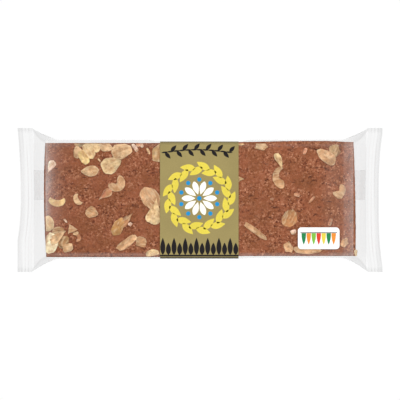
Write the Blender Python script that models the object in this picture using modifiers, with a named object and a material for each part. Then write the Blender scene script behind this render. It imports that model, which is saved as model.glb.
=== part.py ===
"""A filled speculaas bar topped with flaked almonds, sealed in a clear bag with a printed band.

Metres, +Z up. X runs along the bar and +Y is the top of the print. The pack lies on its back, and
the origin is at the middle of its underside. The clear bag is one solid with the bar inside it: it
has the form of the film, which lies close on the bar and its almond flakes, narrows past each end
of the bar and is crimped flat in a fin. A printed band goes round the middle, in a seat as deep as
it is thick, and a small sticker lies on the upper face.
"""

import math
from dataclasses import dataclass

import bmesh
import bpy
from mathutils import Vector

# Bar and bag
BAR_END = 0.109  # the bar is 218 mm long
BODY_HALF_WIDTH = 0.041  # the bar is 80 mm wide, and the film stands 1 mm off each side
BODY_HALF_HEIGHT = 0.0105
EDGE_RADIUS = 0.003
MOST_ROUNDED = 0.8  # the largest share of half the height that the rounding takes
END_DROP = 0.0004  # how far the film comes down towards each end of the bar
DROP_START = 0.100
SHOULDER = 0.097  # from here the side of the bag widens towards the fin

# Crimped fins
FIN_START = 0.118
FIN_END = 0.128
FIN_HALF_SPAN = 0.0505
FIN_HALF_THICKNESS = 0.0003
FIN_MIDDLE_HEIGHT = 0.0095
BOW_START = 0.112
# How a fin is pulled in along its length: how far, the curve's power, and its reach down and up
LEFT_BOW = (0.0023, 2.0, 0.0280, 0.0505)
RIGHT_BOW = (0.0026, 3.0, 0.0460, 0.0460)
CRIMP_PITCH = 0.0023
CRIMP_HEIGHT = 0.00035
SIDE_SPREAD = 1.6  # power of the side's curve as it widens
TOP_SPREAD = 1.5  # power of the upper face's curve as it widens

# Lengthwise seal, folded flat on the underside from the middle towards +Y
SEAL_WIDTH = 0.021
SEAL_RELIEF = 0.0004
SEAL_COVER = 0.00005  # how far the seal lies inside the flat underside
SEAL_ROOT = 0.0015  # how deep its solid reaches into the bag
SEAL_LINE_WIDTH = 0.001
SEAL_LINE_END = 0.1068

# Printed band
BAND_LEFT = -0.028
BAND_RIGHT = 0.027
BAND_THICKNESS = 0.0004
BAND_LIFT = 0.00015  # the band's underside stays this far above the bag's
CLEARANCE = 0.0003
SEAT_WALL = 0.015  # how far the cutter of the seat reaches outside the bag

# Sticker
STICKER_CENTRE = (0.0831, -0.0268)
STICKER_WIDTH = 0.0291
STICKER_HEIGHT = 0.0152
STICKER_RADIUS = 0.0023
STICKER_THICKNESS = 0.0003
STICKER_SEAT = 0.00005

# Almond flakes
FLAKE_RELIEF = 0.0007
FLAKE_ROOT = 0.004  # how deep a flake's solid reaches into the bag before it is joined
OUTLINE_POINTS = 14

# How finely the outlines are divided
FLAT_STEPS = 8
ARC_STEPS = 4
BODY_STATIONS = (0.0, 0.035, 0.070, SHOULDER, DROP_START, 0.1035, 0.1065, BAR_END)
TAPER_STATIONS = (0.1115, 0.114, 0.1162, FIN_START)
SEAL_STATIONS = (0.1035, 0.1065, BAR_END, *TAPER_STATIONS)


@dataclass(frozen=True)
class Flake:
    """One piece of flaked almond: its form, middle, length, width and turn, in mm and degrees."""

    form: str
    x: float
    y: float
    length: float
    width: float
    turn: float


# The flakes that show from a step away, from the left end to the right
FLAKES = (
    Flake("slice", -107.0, -16.5, 11.0, 10.0, 90),
    Flake("slice", -104.3, -28.7, 17.0, 9.0, 80),
    Flake("sliver", -104.3, 22.4, 9.8, 3.8, 65),
    Flake("half", -100.1, -0.6, 13.0, 10.0, 180),
    Flake("sliver", -98.0, -25.0, 10.0, 4.5, 40),
    Flake("chip", -95.9, -28.7, 9.8, 7.0, 60),
    Flake("chip", -92.8, -33.3, 8.0, 6.8, 0),
    Flake("shard", -89.3, -20.7, 7.5, 7.0, 75),
    Flake("slice", -86.8, 33.3, 10.0, 7.5, 80),
    Flake("chip", -86.8, -24.9, 5.2, 3.0, -55),
    Flake("slice", -85.8, 0.0, 10.5, 5.4, -52),
    Flake("slice", -84.0, 38.6, 8.0, 6.0, 0),
    Flake("slice", -81.6, 29.8, 10.5, 6.5, -62),
    Flake("slice", -77.7, 34.3, 12.0, 7.5, -62),
    Flake("slice", -77.0, 20.3, 12.0, 7.4, 185),
    Flake("chip", -75.6, -8.6, 9.0, 7.5, 0),
    Flake("slice", -74.2, 37.6, 9.5, 7.5, -30),
    Flake("sliver", -66.9, 3.5, 9.5, 5.0, 35),
    Flake("slice", -65.8, 37.6, 10.5, 7.5, -20),
    Flake("slice", -62.0, 24.5, 13.0, 11.5, 20),
    Flake("curl", -58.5, 11.9, 12.6, 12.6, -45),
    Flake("slice", -57.0, -18.2, 14.5, 8.8, 62),
    Flake("slice", -54.6, 34.3, 15.5, 10.5, 15),
    Flake("sliver", -51.5, -30.5, 17.5, 6.0, 40),
    Flake("shard", -49.7, -12.6, 10.0, 5.0, 52),
    Flake("shard", -43.4, 37.3, 7.0, 5.0, 10),
    Flake("chip", -41.7, -29.4, 8.0, 7.5, 20),
    Flake("slice", -35.7, 1.4, 15.5, 12.0, -45),
    Flake("half", -33.3, -36.8, 9.3, 5.0, 10),
    Flake("slice", -31.5, -8.4, 17.0, 8.0, -72),
    Flake("slice", -29.4, 32.9, 13.0, 10.0, 90),
    Flake("chip", 28.0, 14.7, 5.6, 4.2, 0),
    Flake("sliver", 38.5, -21.6, 20.0, 4.8, -36),
    Flake("chip", 43.4, 37.6, 9.3, 6.0, 0),
    Flake("curl", 54.9, 15.4, 10.0, 14.5, 180),
    Flake("sliver", 55.3, 27.7, 10.0, 4.8, -58),
    Flake("chip", 62.0, -33.3, 9.0, 6.8, -60),
    Flake("slice", 62.8, -12.8, 13.3, 10.8, 60),
    Flake("slice", 75.6, -35.0, 20.0, 6.4, -5),
    Flake("sliver", 91.3, -15.4, 5.6, 2.8, 70),
    Flake("slice", 90.0, 29.4, 14.5, 8.0, -38),
    Flake("chip", 94.2, 34.0, 9.5, 8.0, 60),
    Flake("shard", 98.7, 6.3, 10.5, 9.5, 60),
    Flake("chip", 101.5, -30.1, 7.4, 5.0, 90),
)


def share(value, start, end):
    """How far value lies from start to end, held between 0 and 1."""
    return min(max((value - start) / (end - start), 0.0), 1.0)


def mixed(first, second, t):
    """The value that lies t of the way from first to second."""
    return first + (second - first) * t


def clear_scene():
    """Removes every object that the scene starts with."""
    for obj in list(bpy.data.objects):
        bpy.data.objects.remove(obj, do_unlink=True)


def new_collection(name):
    """A collection in the scene."""
    made = bpy.data.collections.new(name)
    bpy.context.scene.collection.children.link(made)
    return made


def material(name, colour, roughness, alpha=1.0):
    """A Principled material of one colour."""
    made = bpy.data.materials.new(name)
    made.use_nodes = True
    shader = made.node_tree.nodes["Principled BSDF"]
    shader.inputs["Base Color"].default_value = (*colour, 1.0)
    shader.inputs["Roughness"].default_value = roughness
    shader.inputs["Metallic"].default_value = 0.0
    shader.inputs["Alpha"].default_value = alpha
    made.diffuse_color = (*colour, alpha)
    return made


def object_from(bm, name, collection):
    """An object in a collection with the mesh of bm, whose faces are turned outwards."""
    bmesh.ops.recalc_face_normals(bm, faces=bm.faces)
    mesh = bpy.data.meshes.new(name)
    bm.to_mesh(mesh)
    bm.free()
    obj = bpy.data.objects.new(name, mesh)
    collection.objects.link(obj)
    return obj


def apply_modifiers(obj):
    """Gives the object the mesh that its modifiers make, and removes them."""
    bpy.context.view_layer.update()
    graph = bpy.context.evaluated_depsgraph_get()
    made = bpy.data.meshes.new_from_object(obj.evaluated_get(graph), depsgraph=graph)
    obj.modifiers.clear()
    obj.data = made


def add_boolean(obj, operation, other):
    """Adds a Boolean with another object, or with all of a collection's objects."""
    boolean = obj.modifiers.new(operation.lower(), "BOOLEAN")
    boolean.operation = operation
    boolean.solver = "EXACT"
    if isinstance(other, bpy.types.Collection):
        boolean.operand_type = "COLLECTION"
        boolean.collection = other
    else:
        boolean.object = other


# Bag

def taper(s):
    """How far the station s, measured from the middle of the bar, is from its end to the fin."""
    return share(s, BAR_END, FIN_START)


def side_half_width(s):
    """Half the bag's width at half its height, where its side creases towards the fin."""
    return mixed(BODY_HALF_WIDTH, FIN_HALF_SPAN, share(s, SHOULDER, FIN_START) ** SIDE_SPREAD)


def top_half_width(s):
    """Half the width of the bag's upper face."""
    return mixed(BODY_HALF_WIDTH, FIN_HALF_SPAN, taper(s) ** TOP_SPREAD)


def half_height(s):
    """Half the bag's height: whole over the bar, a little less at its end, and thin in the fin."""
    at_end = BODY_HALF_HEIGHT - END_DROP * share(s, DROP_START, BAR_END) ** 2
    return mixed(at_end, FIN_HALF_THICKNESS, taper(s))


def middle_height(s):
    """The height of the bag's middle plane, with the crimps of the fin."""
    level = mixed(BODY_HALF_HEIGHT, FIN_MIDDLE_HEIGHT, taper(s))
    if s <= FIN_START:
        return level
    return level + CRIMP_HEIGHT * math.sin(math.tau * (s - FIN_START) / CRIMP_PITCH)


def pulled_in(s, y, x):
    """How far a point of the fin is pulled towards the bar, on the left for x below 0."""
    depth, power, low, high = LEFT_BOW if x < 0.0 else RIGHT_BOW
    reach = min(abs(y) / (high if y > 0.0 else low), 1.0)
    return depth * share(s, BOW_START, FIN_START) * (1.0 - reach ** power)


def half_outline(s, swell):
    """The upper half of the outline across X, from the left crease to the right, as (y, up)."""
    high = half_height(s) + swell
    top = top_half_width(s) + swell
    radius = min(EDGE_RADIUS, MOST_ROUNDED * high)
    corner = [math.radians(90.0 * i / ARC_STEPS) for i in range(ARC_STEPS + 1)]
    right = [
        (top - radius + radius * math.sin(a), high - radius + radius * math.cos(a)) for a in corner
    ]
    flat = top - radius
    points = [(-y, up) for y, up in reversed(right)]
    points += [(flat * (2.0 * i / FLAT_STEPS - 1.0), high) for i in range(1, FLAT_STEPS)]
    points += right
    push = side_half_width(s) + swell - top
    pushed = [(y + math.copysign(push * (1.0 - up / high), y), up) for y, up in points]
    crease = top + push
    return [(-crease, 0.0), *pushed, (crease, 0.0)]


def ring(x, swell):
    """The closed outline of the bag at x: over the upper half, and back under the lower."""
    s = abs(x)
    upper = half_outline(s, swell)
    outline = upper + [(y, -up) for y, up in reversed(upper[1:-1])]
    middle = middle_height(s)
    return [
        Vector((math.copysign(s - pulled_in(s, y, x), x), y, middle + up)) for y, up in outline
    ]


def loft(name, stations, swell, collection):
    """A closed skin through the bag's outlines at the stations."""
    bm = bmesh.new()
    rings = [[bm.verts.new(p) for p in ring(x, swell)] for x in stations]
    count = len(rings[0])
    for first, second in zip(rings, rings[1:]):
        for i in range(count):
            j = (i + 1) % count
            bm.faces.new((first[i], first[j], second[j], second[i]))
    for end in (rings[0], rings[-1]):
        for i in range(count // 2):
            corners = [end[i], end[i + 1], end[count - i - 1], end[(count - i) % count]]
            bm.faces.new(list(dict.fromkeys(corners)))
    return object_from(bm, name, collection)


def mirrored_stations(stations):
    """The stations on both sides of the middle of the bar, from left to right."""
    return [-s for s in reversed(stations) if s > 0.0] + list(stations)


def make_bag(parts):
    """The bag's own form, with a ring at each crest and each trough of the crimps."""
    crests = []
    s = FIN_START + CRIMP_PITCH / 4.0
    while s < FIN_END - CRIMP_PITCH / 4.0:
        crests.append(s)
        s += CRIMP_PITCH / 2.0
    stations = (*BODY_STATIONS, *TAPER_STATIONS, *crests, FIN_END)
    return loft("sealed_bag", mirrored_stations(stations), 0.0, parts)


def underside(s, y, side):
    """The point of the bag's underside at a station and at y, with x measured from the middle."""
    return Vector((s - pulled_in(s, y, side), y, middle_height(s) - half_height(s)))


def seal_half(y, side):
    """Half the seal's outline at y, to the left end for side -1 and to the right end for side 1."""
    line = [underside(s, y, side) for s in SEAL_STATIONS]
    outer = [Vector((line[0].x, y, SEAL_COVER))]
    for before, here, after in zip(line, line[1:], line[2:] + line[-1:]):
        along = after - before
        outer.append(here + Vector((along.z, 0.0, -along.x)).normalized() * SEAL_RELIEF)
    outer = [Vector((p.x, y, max(p.z, SEAL_COVER))) for p in outer]
    inner = [Vector((p.x - SEAL_ROOT, y, p.z + SEAL_ROOT)) for p in reversed(outer)]
    return [*outer, *inner]


def seal_profile(y):
    """The seal's outline at y: under the bar inside the flat underside, and raised past it."""
    left = seal_half(y, -1.0)
    return [*seal_half(y, 1.0), *(Vector((-p.x, p.y, p.z)) for p in reversed(left))]


def make_seal(collection):
    """The lengthwise seal: flush under the bar, and raised where the bag narrows at its ends."""
    bm = bmesh.new()
    sides = [[bm.verts.new(p) for p in seal_profile(y)] for y in (0.0, SEAL_WIDTH)]
    for side in sides:
        bm.faces.new(side)
    for i in range(len(sides[0])):
        near, far = sides
        bm.faces.new((near[i - 1], near[i], far[i], far[i - 1]))
    return object_from(bm, "seal", collection)


def make_seal_lines(collection):
    """Two shallow cutters that draw the seal's edges along the flat underside."""
    for side in (0.0, SEAL_WIDTH):
        bm = bmesh.new()
        bmesh.ops.create_cube(bm, size=1.0)
        size = (2.0 * SEAL_LINE_END, SEAL_LINE_WIDTH, 2.0 * SEAL_RELIEF)
        bmesh.ops.scale(bm, verts=bm.verts, vec=size)
        bmesh.ops.translate(bm, verts=bm.verts, vec=(0.0, side, 0.0))
        object_from(bm, f"seal_line_{side:.3f}", collection)


# Almond flakes

def slice_outline(t):
    """An oval slice with one end more pointed, for t round the outline from 0 to 1."""
    a = math.tau * t
    return 0.5 * math.cos(a), 0.5 * math.sin(a) * (1.0 - 0.22 * math.cos(a))


def half_outline_of_slice(t):
    """A slice broken along its length: a round side, and a nearly straight one."""
    a = math.tau * t
    y = 0.55 * math.sin(a)
    return 0.5 * math.cos(a), (y if y > 0.0 else 0.12 * y) - 0.25


def sliver_outline(t):
    """A narrow splinter with blunt ends."""
    a = math.tau * t
    return 0.5 * math.cos(a), 0.5 * math.copysign(abs(math.sin(a)) ** 0.7, math.sin(a))


def chip_outline(t):
    """A broken piece with five uneven sides."""
    a = math.tau * t
    reach = 0.46 + 0.05 * math.cos(5.0 * a + 0.6) + 0.04 * math.sin(2.0 * a)
    return reach * math.cos(a), reach * math.sin(a)


def shard_outline(t):
    """A three-cornered piece."""
    a = math.tau * t
    reach = 0.42 + 0.10 * math.cos(3.0 * a)
    return reach * math.cos(a), reach * math.sin(a)


def curl_outline(t):
    """A crescent that is open towards -X: out along its outer side, and back along the inner."""
    outward = t < 0.5
    along = 2.0 * t if outward else 2.0 * (1.0 - t)
    a = math.radians(mixed(-125.0, 125.0, along))
    reach = 0.5 if outward else 0.5 - 0.34 * math.sin(math.pi * min(max(along, 0.08), 0.92))
    return reach * math.cos(a), reach * math.sin(a)


OUTLINES = {
    "slice": slice_outline,
    "half": half_outline_of_slice,
    "sliver": sliver_outline,
    "chip": chip_outline,
    "shard": shard_outline,
    "curl": curl_outline,
}


def plate(name, outline, low, high, collection):
    """A flat plate with the outline, from one height to the other."""
    bm = bmesh.new()
    face = bm.faces.new([bm.verts.new((x, y, low)) for x, y in outline])
    swept = bmesh.ops.extrude_face_region(bm, geom=[face])
    moved = [v for v in swept["geom"] if isinstance(v, bmesh.types.BMVert)]
    bmesh.ops.translate(bm, verts=moved, vec=(0.0, 0.0, high - low))
    return object_from(bm, name, collection)


def flake_points(flake):
    """A flake's outline where it lies on the bar, in metres."""
    turn = math.radians(flake.turn)
    points = []
    for i in range(OUTLINE_POINTS):
        u, v = OUTLINES[flake.form]((i + 0.5) / OUTLINE_POINTS)
        u, v = u * flake.length, v * flake.width
        x = flake.x + u * math.cos(turn) - v * math.sin(turn)
        y = flake.y + u * math.sin(turn) + v * math.cos(turn)
        points.append((0.001 * x, 0.001 * y))
    return points


def make_flakes(collection, envelope, almond):
    """Every flake as a plate, cut to a form that stands evenly off the bag's upper face."""
    top = 2.0 * BODY_HALF_HEIGHT
    for i, flake in enumerate(FLAKES):
        low, high = top - FLAKE_ROOT, top + FLAKE_ROOT
        obj = plate(f"flake_{i:02d}", flake_points(flake), low, high, collection)
        obj.data.materials.append(almond)
        add_boolean(obj, "INTERSECT", envelope)
        apply_modifiers(obj)


# Band and sticker

def rounded_rectangle(half_width, half_depth, radius):
    """A rectangle with round corners about its own middle, as (u, v) points."""
    points = []
    for quarter, (u, v) in enumerate(((1, 1), (-1, 1), (-1, -1), (1, -1))):
        for i in range(ARC_STEPS + 1):
            a = math.radians(90.0 * (quarter + i / ARC_STEPS))
            points.append(
                (
                    u * (half_width - radius) + radius * math.cos(a),
                    v * (half_depth - radius) + radius * math.sin(a),
                )
            )
    return points


def sleeve(name, inset, thickness, reach, collection):
    """A sleeve round the bag: inset is how far its inner side lies inside the bag's outline."""
    half_width = BODY_HALF_WIDTH - inset
    half_depth = BODY_HALF_HEIGHT - inset
    outline = rounded_rectangle(half_width, half_depth, EDGE_RADIUS - inset)
    middle = BODY_HALF_HEIGHT + BAND_LIFT
    bm = bmesh.new()
    verts = [bm.verts.new((BAND_LEFT - reach, y, middle + up)) for y, up in outline]
    edges = [bm.edges.new((a, b)) for a, b in zip(verts, verts[1:] + verts[:1])]
    swept = bmesh.ops.extrude_edge_only(bm, edges=edges)
    moved = [v for v in swept["geom"] if isinstance(v, bmesh.types.BMVert)]
    length = BAND_RIGHT - BAND_LEFT + 2.0 * reach
    bmesh.ops.translate(bm, verts=moved, vec=(length, 0.0, 0.0))
    obj = object_from(bm, name, collection)
    solidify = obj.modifiers.new("thickness", "SOLIDIFY")
    solidify.thickness = thickness
    solidify.offset = 1.0
    solidify.use_even_offset = True
    return obj


def sticker_plate(name, margin, low, high, collection):
    """The sticker's rounded outline as a plate, wider all round by a margin."""
    outline = rounded_rectangle(
        STICKER_WIDTH / 2.0 + margin, STICKER_HEIGHT / 2.0 + margin, STICKER_RADIUS + margin
    )
    placed = [(u + STICKER_CENTRE[0], v + STICKER_CENTRE[1]) for u, v in outline]
    return plate(name, placed, low, high, collection)


def colour_ends(bag, film):
    """Gives the bag's see-through ends, past the bar, the plain film's material."""
    bag.data.materials.append(film)
    for face in bag.data.polygons:
        if abs(face.center.x) > BAR_END:
            face.material_index = len(bag.data.materials) - 1


def main():
    """Builds the pack."""
    clear_scene()
    parts = new_collection("filled_speculaas_bar")
    joined = new_collection("joined_to_bag")
    cutters = new_collection("cutters")

    speculaas = material("speculaas_under_film", (0.30, 0.13, 0.07), 0.45)
    almond = material("flaked_almond", (0.66, 0.46, 0.25), 0.5)
    film = material("clear_film", (0.88, 0.88, 0.88), 0.12, 0.45)
    paper = material("printed_paper", (0.40, 0.31, 0.13), 0.5)
    white = material("sticker_white", (0.90, 0.90, 0.88), 0.35)

    bag = make_bag(parts)
    bag.data.materials.append(speculaas)
    make_seal(joined).data.materials.append(film)
    envelope = loft("envelope", mirrored_stations(BODY_STATIONS), FLAKE_RELIEF, cutters)
    make_flakes(joined, envelope, almond)
    bpy.data.objects.remove(envelope)

    seat_depth = BAND_THICKNESS + CLEARANCE
    sleeve("band_seat", seat_depth, SEAT_WALL, CLEARANCE, cutters)
    top = 2.0 * BODY_HALF_HEIGHT
    seat_floor = top - STICKER_SEAT
    sticker_plate("sticker_seat", CLEARANCE, seat_floor, top + EDGE_RADIUS, cutters)
    make_seal_lines(cutters)
    add_boolean(bag, "UNION", joined)
    add_boolean(bag, "DIFFERENCE", cutters)
    apply_modifiers(bag)
    colour_ends(bag, film)
    for helper in (*joined.objects, *cutters.objects):
        bpy.data.objects.remove(helper)

    band = sleeve("label_band", BAND_THICKNESS, BAND_THICKNESS, 0.0, parts)
    band.data.materials.append(paper)
    sticker_low = seat_floor + CLEARANCE
    sticker_high = sticker_low + STICKER_THICKNESS
    sticker = sticker_plate("corner_sticker", 0.0, sticker_low, sticker_high, parts)
    sticker.data.materials.append(white)


main()
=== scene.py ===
"""Looks of a filled speculaas bar topped with flaked almonds, sealed in a clear film bag.

Metres, +Z up. The bar lies along X with its almond-topped face up, and +Y is the top of the print.
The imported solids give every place: the bag's form is worked out here from the same sizes, and the
film, the bar and its almonds stand for that one solid. The printed band and the sticker keep their
solids and get a finish and a print of simple shapes.
"""

import logging
import math
import random
from collections.abc import Sequence
from dataclasses import dataclass, field
from enum import Enum

import bpy
import numpy as np
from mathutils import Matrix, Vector, noise


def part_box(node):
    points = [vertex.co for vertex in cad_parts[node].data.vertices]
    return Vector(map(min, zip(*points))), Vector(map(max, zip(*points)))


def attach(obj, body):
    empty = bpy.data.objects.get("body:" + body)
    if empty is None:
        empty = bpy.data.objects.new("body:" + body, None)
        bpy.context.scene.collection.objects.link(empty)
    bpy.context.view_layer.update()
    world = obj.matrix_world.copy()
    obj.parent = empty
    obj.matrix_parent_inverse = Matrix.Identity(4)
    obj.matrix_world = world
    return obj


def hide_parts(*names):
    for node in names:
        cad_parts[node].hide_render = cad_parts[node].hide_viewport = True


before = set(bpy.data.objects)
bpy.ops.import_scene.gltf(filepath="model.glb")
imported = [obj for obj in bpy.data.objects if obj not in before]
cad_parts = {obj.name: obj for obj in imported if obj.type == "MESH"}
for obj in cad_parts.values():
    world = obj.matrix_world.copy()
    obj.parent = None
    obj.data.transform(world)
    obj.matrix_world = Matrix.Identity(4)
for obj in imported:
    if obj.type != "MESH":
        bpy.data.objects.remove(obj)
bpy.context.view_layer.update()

MM = 0.001
MERGE_DISTANCE = 0.002 * MM
PRINT_MERGE_DISTANCE = 0.001 * MM
TOUCHING = 0.01 * MM
LOG = logging.getLogger("speculaas_bar")

Colour = tuple[float, float, float]
Place = tuple[float, float, float]
Size = tuple[float, float]
Span = tuple[float, float]
Array = np.ndarray
Values = float | Array
Piece = bpy.types.Object
Material = bpy.types.Material
Node = bpy.types.Node
Socket = bpy.types.NodeSocket


def mixed(first: Values, second: Values, t: Values) -> Values:
    """The value that lies t of the way from first to second."""
    return first + (second - first) * t


def share(value: Values, start: Values, end: Values) -> Values:
    """How far value lies from start to end, held between 0 and 1."""
    return np.clip((value - start) / (end - start), 0.0, 1.0)


def eased(value: Values, start: Values, end: Values) -> Values:
    """The same share with a soft start and end."""
    t = share(value, start, end)
    return t * t * (3.0 - 2.0 * t)


def turned(u: Values, v: Values, degrees: Values) -> tuple[Values, Values]:
    """The point (u, v) turned about the origin."""
    cos, sin = np.cos(np.radians(degrees)), np.sin(np.radians(degrees))
    return u * cos - v * sin, u * sin + v * cos


def waves(*places: Values) -> Array:
    """Smooth noise, about -1 to 1, at places whose three coordinates are numbers or lists of them."""
    return np.array([noise.noise(Vector(place)) for place in np.broadcast(*places)])


def srgb(*levels: int) -> Colour:
    """A colour given as it looks on screen, from 0 to 255, as linear numbers."""
    parts = [level / 255.0 for level in levels]
    return tuple(p / 12.92 if p <= 0.04045 else ((p + 0.055) / 1.055) ** 2.4 for p in parts)


# Modelling


def deselect_all() -> None:
    """Leaves nothing selected and no object active."""
    bpy.ops.object.select_all(action="DESELECT")
    bpy.context.view_layer.objects.active = None


def use_only(obj: Piece) -> None:
    """Makes one object the only selected one and the active one.

    Args:
        obj: The object.
    """
    deselect_all()
    obj.select_set(True)
    bpy.context.view_layer.objects.active = obj


def named(name: str) -> Piece:
    """Names the active object and its mesh.

    Args:
        name: The name.

    Returns:
        The object.
    """
    obj = bpy.context.object
    obj.name = obj.data.name = name
    return obj


def grid(name: str, columns: int, rows: int) -> Piece:
    """Adds a flat grid one unit wide and deep about the origin.

    Args:
        name: Its name.
        columns: Its faces along X.
        rows: Its faces along Y.

    Returns:
        The grid.
    """
    deselect_all()
    bpy.ops.mesh.primitive_grid_add(x_subdivisions=columns, y_subdivisions=rows, size=1.0)
    return named(name)


def points_of(obj: Piece) -> Array:
    """Reads the places of a mesh's points.

    Args:
        obj: The piece.

    Returns:
        One row of x, y and z a point.
    """
    flat = np.empty(len(obj.data.vertices) * 3, np.float32)
    obj.data.vertices.foreach_get("co", flat)
    return flat.reshape(-1, 3).astype(float)


def set_points(obj: Piece, *columns: Values) -> None:
    """Moves a mesh's points to new places.

    Args:
        obj: The piece.
        *columns: The places, as one table or as their x, y and z.
    """
    points = columns[0] if len(columns) == 1 else np.column_stack(np.broadcast_arrays(*columns))
    obj.data.vertices.foreach_set("co", np.asarray(points, np.float32).ravel())
    obj.data.update()


def edit(obj: Piece, kind: str = "VERT") -> None:
    """Opens a mesh in edit mode with all of it selected.

    Args:
        obj: The piece.
        kind: What is selected, as the select mode names it.
    """
    use_only(obj)
    bpy.ops.object.mode_set(mode="EDIT")
    bpy.ops.mesh.select_mode(type=kind)
    bpy.ops.mesh.select_all(action="SELECT")


def grow_down(depth: float) -> None:
    """Extrudes all that is selected down to a depth, and selects the whole mesh."""
    bpy.ops.mesh.extrude_region_move(TRANSFORM_OT_translate={"value": (0.0, 0.0, -depth)})
    bpy.ops.mesh.select_all(action="SELECT")


def close_edit(merged: float = 0.0) -> None:
    """Turns every face outwards and goes back to object mode.

    Args:
        merged: Points nearer than this are merged first, or none where it is 0.
    """
    if merged > 0.0:
        bpy.ops.mesh.remove_doubles(threshold=merged)
    bpy.ops.mesh.normals_make_consistent(inside=False)
    bpy.ops.object.mode_set(mode="OBJECT")


def shade(obj: Piece, degrees: float) -> Piece:
    """Shades a mesh smooth.

    Args:
        obj: The piece.
        degrees: Edges sharper than this are kept.

    Returns:
        The piece.
    """
    use_only(obj)
    bpy.ops.object.shade_smooth_by_angle(angle=math.radians(degrees))
    return obj


def join(objects: Sequence[Piece], name: str) -> Piece:
    """Joins objects into one.

    Args:
        objects: The objects.
        name: The new object's name.

    Returns:
        The new object.
    """
    use_only(objects[0])
    for obj in objects[1:]:
        obj.select_set(True)
    bpy.ops.object.join()
    return named(name)


def copy_of(obj: Piece, name: str) -> Piece:
    """Copies an object, with a mesh of its own.

    Args:
        obj: The object.
        name: The copy's name.

    Returns:
        The copy.
    """
    made = obj.copy()
    made.data = obj.data.copy()
    made.name = name
    bpy.context.scene.collection.objects.link(made)
    return made


def sheet(name: str, columns: int, rows: int) -> tuple[Piece, Array, Array]:
    """Adds a flat grid and reads its points.

    Args:
        name: Its name.
        columns: Its faces along X.
        rows: Its faces along Y.

    Returns:
        The grid, and how far its points are from its middle along and across it.
    """
    obj = grid(name, columns, rows)
    u, v, _ = points_of(obj).T
    return obj, u, v


def store(obj: Piece, name: str, values: Array) -> None:
    """Keeps values at a mesh's points under a name that a material reads.

    Args:
        obj: The piece.
        name: The attribute's name.
        values: For each point a number, a vector of 3 numbers or a colour of 4.
    """
    kind, entry = {
        1: ("FLOAT", "value"),
        3: ("FLOAT_VECTOR", "vector"),
        4: ("FLOAT_COLOR", "color"),
    }[values.size // len(values)]
    attribute = obj.data.attributes.new(name, kind, "POINT")
    attribute.data.foreach_set(entry, values.astype(np.float32).ravel())


def hand_over(obj: Piece, slot: str, materials: Sequence[Material], *nodes: str) -> None:
    """Dresses a piece and makes it ride on the body.

    Args:
        obj: The piece.
        slot: The name of its finish's slot, which is only written to the log.
        materials: Its finishes, where it has none yet.
        *nodes: The nodes that it stands for.
    """
    for material in materials:
        obj.data.materials.append(material)
    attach(obj, "root")
    if nodes:
        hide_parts(*nodes)
    LOG.info("%s: %d faces, slot %s", obj.name, len(obj.data.polygons), slot)


# Finishes


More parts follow.
